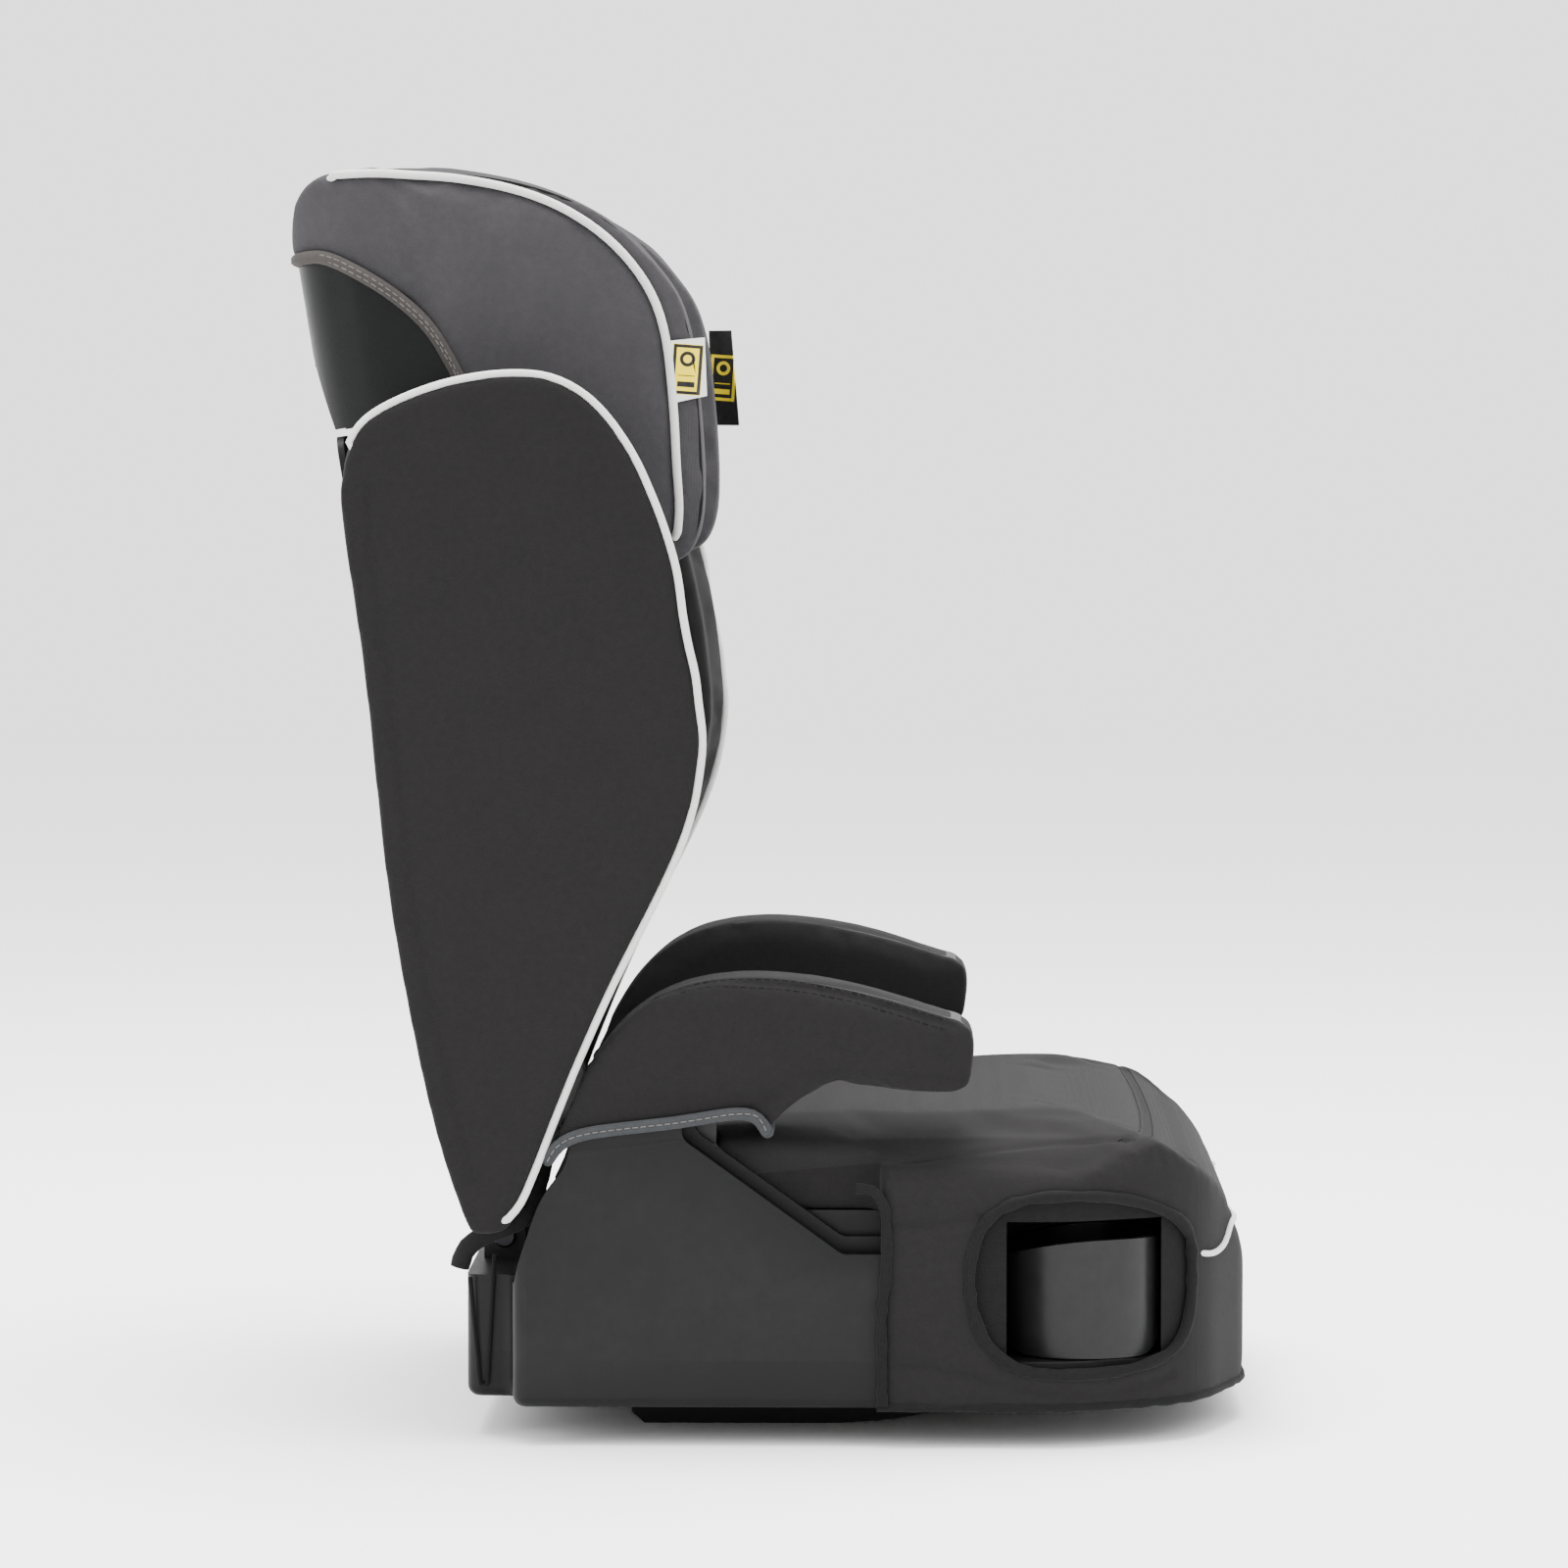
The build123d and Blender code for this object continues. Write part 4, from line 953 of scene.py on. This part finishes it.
for side, word in ((-1, "right"), (1, "left")):
    path = [Vector((side * wingSet["footX"], y, z)) for y, z in footHem]
    foot = tube(word + "_back_foot_hem", path, wingSet["footRadius"])
    gathers(foot, path, 0.011, 0.0005, seed=side)
    settle(dress(foot, charcoalCloth), "backrest", "charcoal_fabric")
print("backrest made")

# headrest hood
hoodSet = {
    "voxel": 0.004,
    "smoothing": 10,
    "room": 0.0012,
    "swell": 0.0032,
    "heldBehind": -0.030,
    "half": 0.150,
    "bulgeHalf": 0.1472,
    "padHalf": 0.1405,
    "padRear": -0.0125,
    "inside": 0.112,
    "front": -0.035,
    "panelFront": -0.008,
    "panelTop": 0.440,
    "cornerRadius": 0.040,
    "rear": 0.027,
    "rimX": 0.1485,
    "innerX": 0.1125,
    "pipingRadius": 0.0023,
    "bindingRadius": 0.0036,
    "outline": mm(
        [(212, 480), (227, 520), (241, 559), (250, 590), (254, 622), (251, 648), (236, 663), (200, 668),
         (160, 667), (123, 661), (88, 647), (60, 623), (41, 596), (32, 550), (29, 500), (32, 472),
         (46, 457), (90, 456), (150, 461), (200, 470)]
    ),
    "piping": mm(
        [(233.6, 662.6), (197.5, 663.7), (171.7, 662.6), (146, 658.5), (115, 648.7), (89.3, 633.3),
         (71.3, 615.4), (58.5, 594.8), (52.3, 569), (49.8, 538.3), (48.3, 507.4), (46.2, 486.7), (48, 470)]
    ),
    "underside": mm(
        [(60, 462), (90, 460), (150, 464), (200, 473), (212, 482), (226, 520), (240, 559), (249, 590),
         (253, 622), (250, 646)]
    ),
    "hem": mm(
        [(248, 618), (234, 619.5), (213, 610), (193, 597), (177, 582), (166, 564), (159, 548), (153, 505),
         (152, 466)]
    ),
    "behindHem": mm([(152, 430), (300, 430), (300, 618)]),
}
pipingLine = flatLine(hoodSet["piping"])
sideOutline = pipingLine + hoodSet["underside"]
half, bulge, padHalf = hoodSet["half"], hoodSet["bulgeHalf"], hoodSet["padHalf"]
inside, r, rear = hoodSet["inside"], hoodSet["cornerRadius"], hoodSet["rear"]
wholeSide = flatLine(hoodSet["outline"], 0.008, True)
hemArea = flatLine(hoodSet["hem"]) + hoodSet["behindHem"]
plan = filleted([(-half, -0.4), (half, -0.4), (half, rear), (-half, rear)], [0.001, 0.001, r, r], 10)

# side panels, the bulge in front of the piping, and padding, each carved before the remesh joins them
outer = prism("headrest_hood", sideOutline, -half, half)
bulged = prism("bulged", wholeSide, -bulge, bulge)
for solid in (outer, bulged):
    carve(solid, prism("hem_area", hemArea, -0.2, 0.2))
pad = prism("pad", wholeSide, -padHalf, padHalf)
carve(pad, brick("pad_rear", (-0.2, 0.2), (hoodSet["padRear"], 0.1), (0.2, 0.75), place=onBack))
headRoom = ((-inside, inside), (-0.4, hoodSet["front"]), (0.2, 0.75))
panelRoom = ((-0.2, 0.2), (hoodSet["panelFront"], 0.1), (-0.1, hoodSet["panelTop"]))
for solid in (outer, bulged, pad):
    carve(solid, brick("head_room", *headRoom, place=onBack))
    carve(solid, brick("panel_room", *panelRoom, place=onBack))
    carve(solid, prism("hood_plan", plan, 0.2, 0.75, axis="Z", place=onBack), "INTERSECT")
hood = softCopy("headrest_hood", [], hoodSet["voxel"], hoodSet["smoothing"], extra=[outer, bulged, pad])


def hoodHeld(p):
    return np.where(behind(p) > hoodSet["heldBehind"], 0.85, 0.0)


shrink(hood, hoodSet["room"])
inflate(hood, hoodSet["swell"], hoodHeld)
subdivide(hood)


def hoodEdge(y, z, side):
    # the hood's outer side, which turns round a rounded corner to the rear
    back = (y - hingePoint.y) * cos(lean) - (z - hingePoint.z) * sin(lean)
    into = max(0.0, back - (rear - r))
    return Vector((side * (half - r + (max(0.0, r * r - into * into)) ** 0.5), y, z))


hemSide = [hoodEdge(y, z, -1) for y, z in reversed(flatLine(hoodSet["hem"], 0.004))]
corner = hemSide[-1]
rearRun = [Vector((x, corner.y + 0.0015, corner.z)) for x in np.linspace(corner.x, -corner.x, 50)][1:-1]
hemLine = relax(hemSide + rearRun + list(reversed(mirrored(hemSide))), 3)
for side, word in ((-1, "right"), (1, "left")):
    rim = [Vector((side * hoodSet["rimX"], y, z)) for y, z in pipingLine]
    rim = relax(onSurface(hood, rim, 0.0012), 4)
    groove(hood, rim, 0.0032, 0.0016)
    piping = tube(word + "_hood_piping", buriedEnds(hood, rim), hoodSet["pipingRadius"])
    settle(dress(piping, whitePiping), "headrest", "grey_fabric")
    innerSeam = [Vector((side * hoodSet["innerX"], y + 0.012, z - 0.010)) for y, z in pipingLine]
    groove(hood, relax(onSurface(hood, innerSeam), 3), 0.0028, 0.0018)
dress(hood, greyCloth)
settle(hood, "headrest", "grey_fabric", ["headrest_cover", "headrest_foam", "headrest_liner"])
binding = tube("hood_binding", hemLine, hoodSet["bindingRadius"])
settle(dress(binding, bindingCloth), "headrest", "grey_fabric")


def aboveBinding(p, shift):
    # proud of the binding: outwards at the sides, rearwards across the rear
    atSide = abs(p.x) > 0.12
    return p + Vector((np.sign(p.x) * 0.0034 if atSide else 0, 0 if atSide else 0.0034, shift))


for row, shift in (("upper", 0.0012), ("lower", -0.0016)):
    lifted = [aboveBinding(p, shift) for p in hemLine]
    thread = stitches("hood_binding_" + row + "_stitching", lifted, 0.003, 0.0045, 0.0003)
    settle(dress(thread, greyThread), "headrest", "grey_fabric")
print("hood made:", len(hood.data.polygons), "faces")


def tagFinish(name, ground, mark, border, centre, tilt):
    # a woven tag with a frame, a ring and plain bars: no lettering
    tag = Finish(name, Specular_IOR_Level=0.15)
    x, y, z = tag.axes()
    u = (y - centre[0]) * cos(tilt) + (z - centre[1]) * sin(tilt)
    v = (z - centre[1]) * cos(tilt) - (y - centre[0]) * sin(tilt)
    side, up = u.math("ABSOLUTE"), v.math("ABSOLUTE")
    edge = (side - 0.0075).math("MAXIMUM", up - 0.0130)
    inFrame = edge.below(0.0) * edge.above(-0.0017)
    spot = (u * u + (v - 0.0055) * (v - 0.0055)).math("SQRT")
    ring = spot.below(0.0040) * spot.above(0.0022)
    stripes = ((v + 0.0035) * 1100).math("SINE").above(0.0)
    bars = stripes * (v + 0.0065).math("ABSOLUTE").below(0.0035) * side.below(0.0045)
    marks = (inFrame + ring + bars).math("MINIMUM", 1.0)
    threads = ((y * 9000).math("SINE") * (z * 9000).math("SINE")) * 0.08
    wornPatch = tag.noise(300, 2)
    tone = tag.mix(marks, ground, mark)
    tone = tag.mix(edge.above(0.0003), tone, border)
    tone = tag.mix((wornPatch - 0.5) * 0.1 + threads * 0.5 + 0.03, tone, grey(0.2))
    height = threads + wornPatch * 0.2
    tag.set(Base_Color=tone, Roughness=(wornPatch - 0.5) * 0.2 + 0.6, Normal=tag.bump(height, 0.0001, 0.5))
    return tag.material


tagSet = {
    "tilt": 4,
    "thickness": 0.0007,
    "right": {
        "corners": mm([(52.5, 575.2), (33.5, 577.2), (32.4, 546.5), (51, 542.4)]),
        "ground": (0.72, 0.56, 0.001, 1),
        "mark": (0.006, 0.006, 0.006, 1),
        "border": (0.6, 0.6, 0.58, 1),
        "slot": "label",
    },
    "left": {
        "corners": mm([(40, 584), (27, 584), (22.5, 530), (38, 530)]),
        "ground": (0.006, 0.006, 0.006, 1),
        "mark": (0.72, 0.56, 0.001, 1),
        "border": (0.006, 0.006, 0.006, 1),
        "slot": "dark_label",
    },
}
for side, word in ((-1, "right"), (1, "left")):
    facts = tagSet[word]
    a, b, c, d = [Vector((0, y, z)) for y, z in facts["corners"]]
    bpy.ops.mesh.primitive_grid_add(x_subdivisions=14, y_subdivisions=20, size=1)
    label = bpy.context.object
    label.name = label.data.name = word + "_woven_tag"
    placed = []
    for p in coords(label):
        s, t = p[0] + 0.5, p[1] + 0.5
        spot = (a.lerp(b, s)).lerp(d.lerp(c, s), t)
        hit, landed, _, _ = hood.ray_cast(Vector((side * 0.4, spot.y, spot.z)), Vector((-side, 0, 0)))
        x = landed.x if hit else side * 0.125
        x = side * max(abs(x) + 0.0012, 0.150 - 0.0135 * s * s)
        placed.append((x, spot.y, spot.z))
    setCoords(label, placed)
    only(label)
    bpy.ops.object.modifier_add(type="SOLIDIFY")
    label.modifiers[-1].thickness = tagSet["thickness"]
    label.modifiers[-1].offset = 0
    applyAll(label)
    bpy.ops.object.mode_set(mode="EDIT")
    bpy.ops.mesh.select_all(action="SELECT")
    bpy.ops.mesh.normals_make_consistent(inside=False)
    bpy.ops.object.mode_set(mode="OBJECT")
    bpy.ops.object.shade_smooth_by_angle(angle=radians(40))
    middle = (a + b + c + d) / 4
    colours = [facts[key] for key in ("ground", "mark", "border")]
    dress(label, tagFinish(word + "_tag_cloth", *colours, (middle.y, middle.z), radians(tagSet["tilt"])))
    settle(label, "headrest", facts["slot"], [word + "_tag"])
print("tags made")
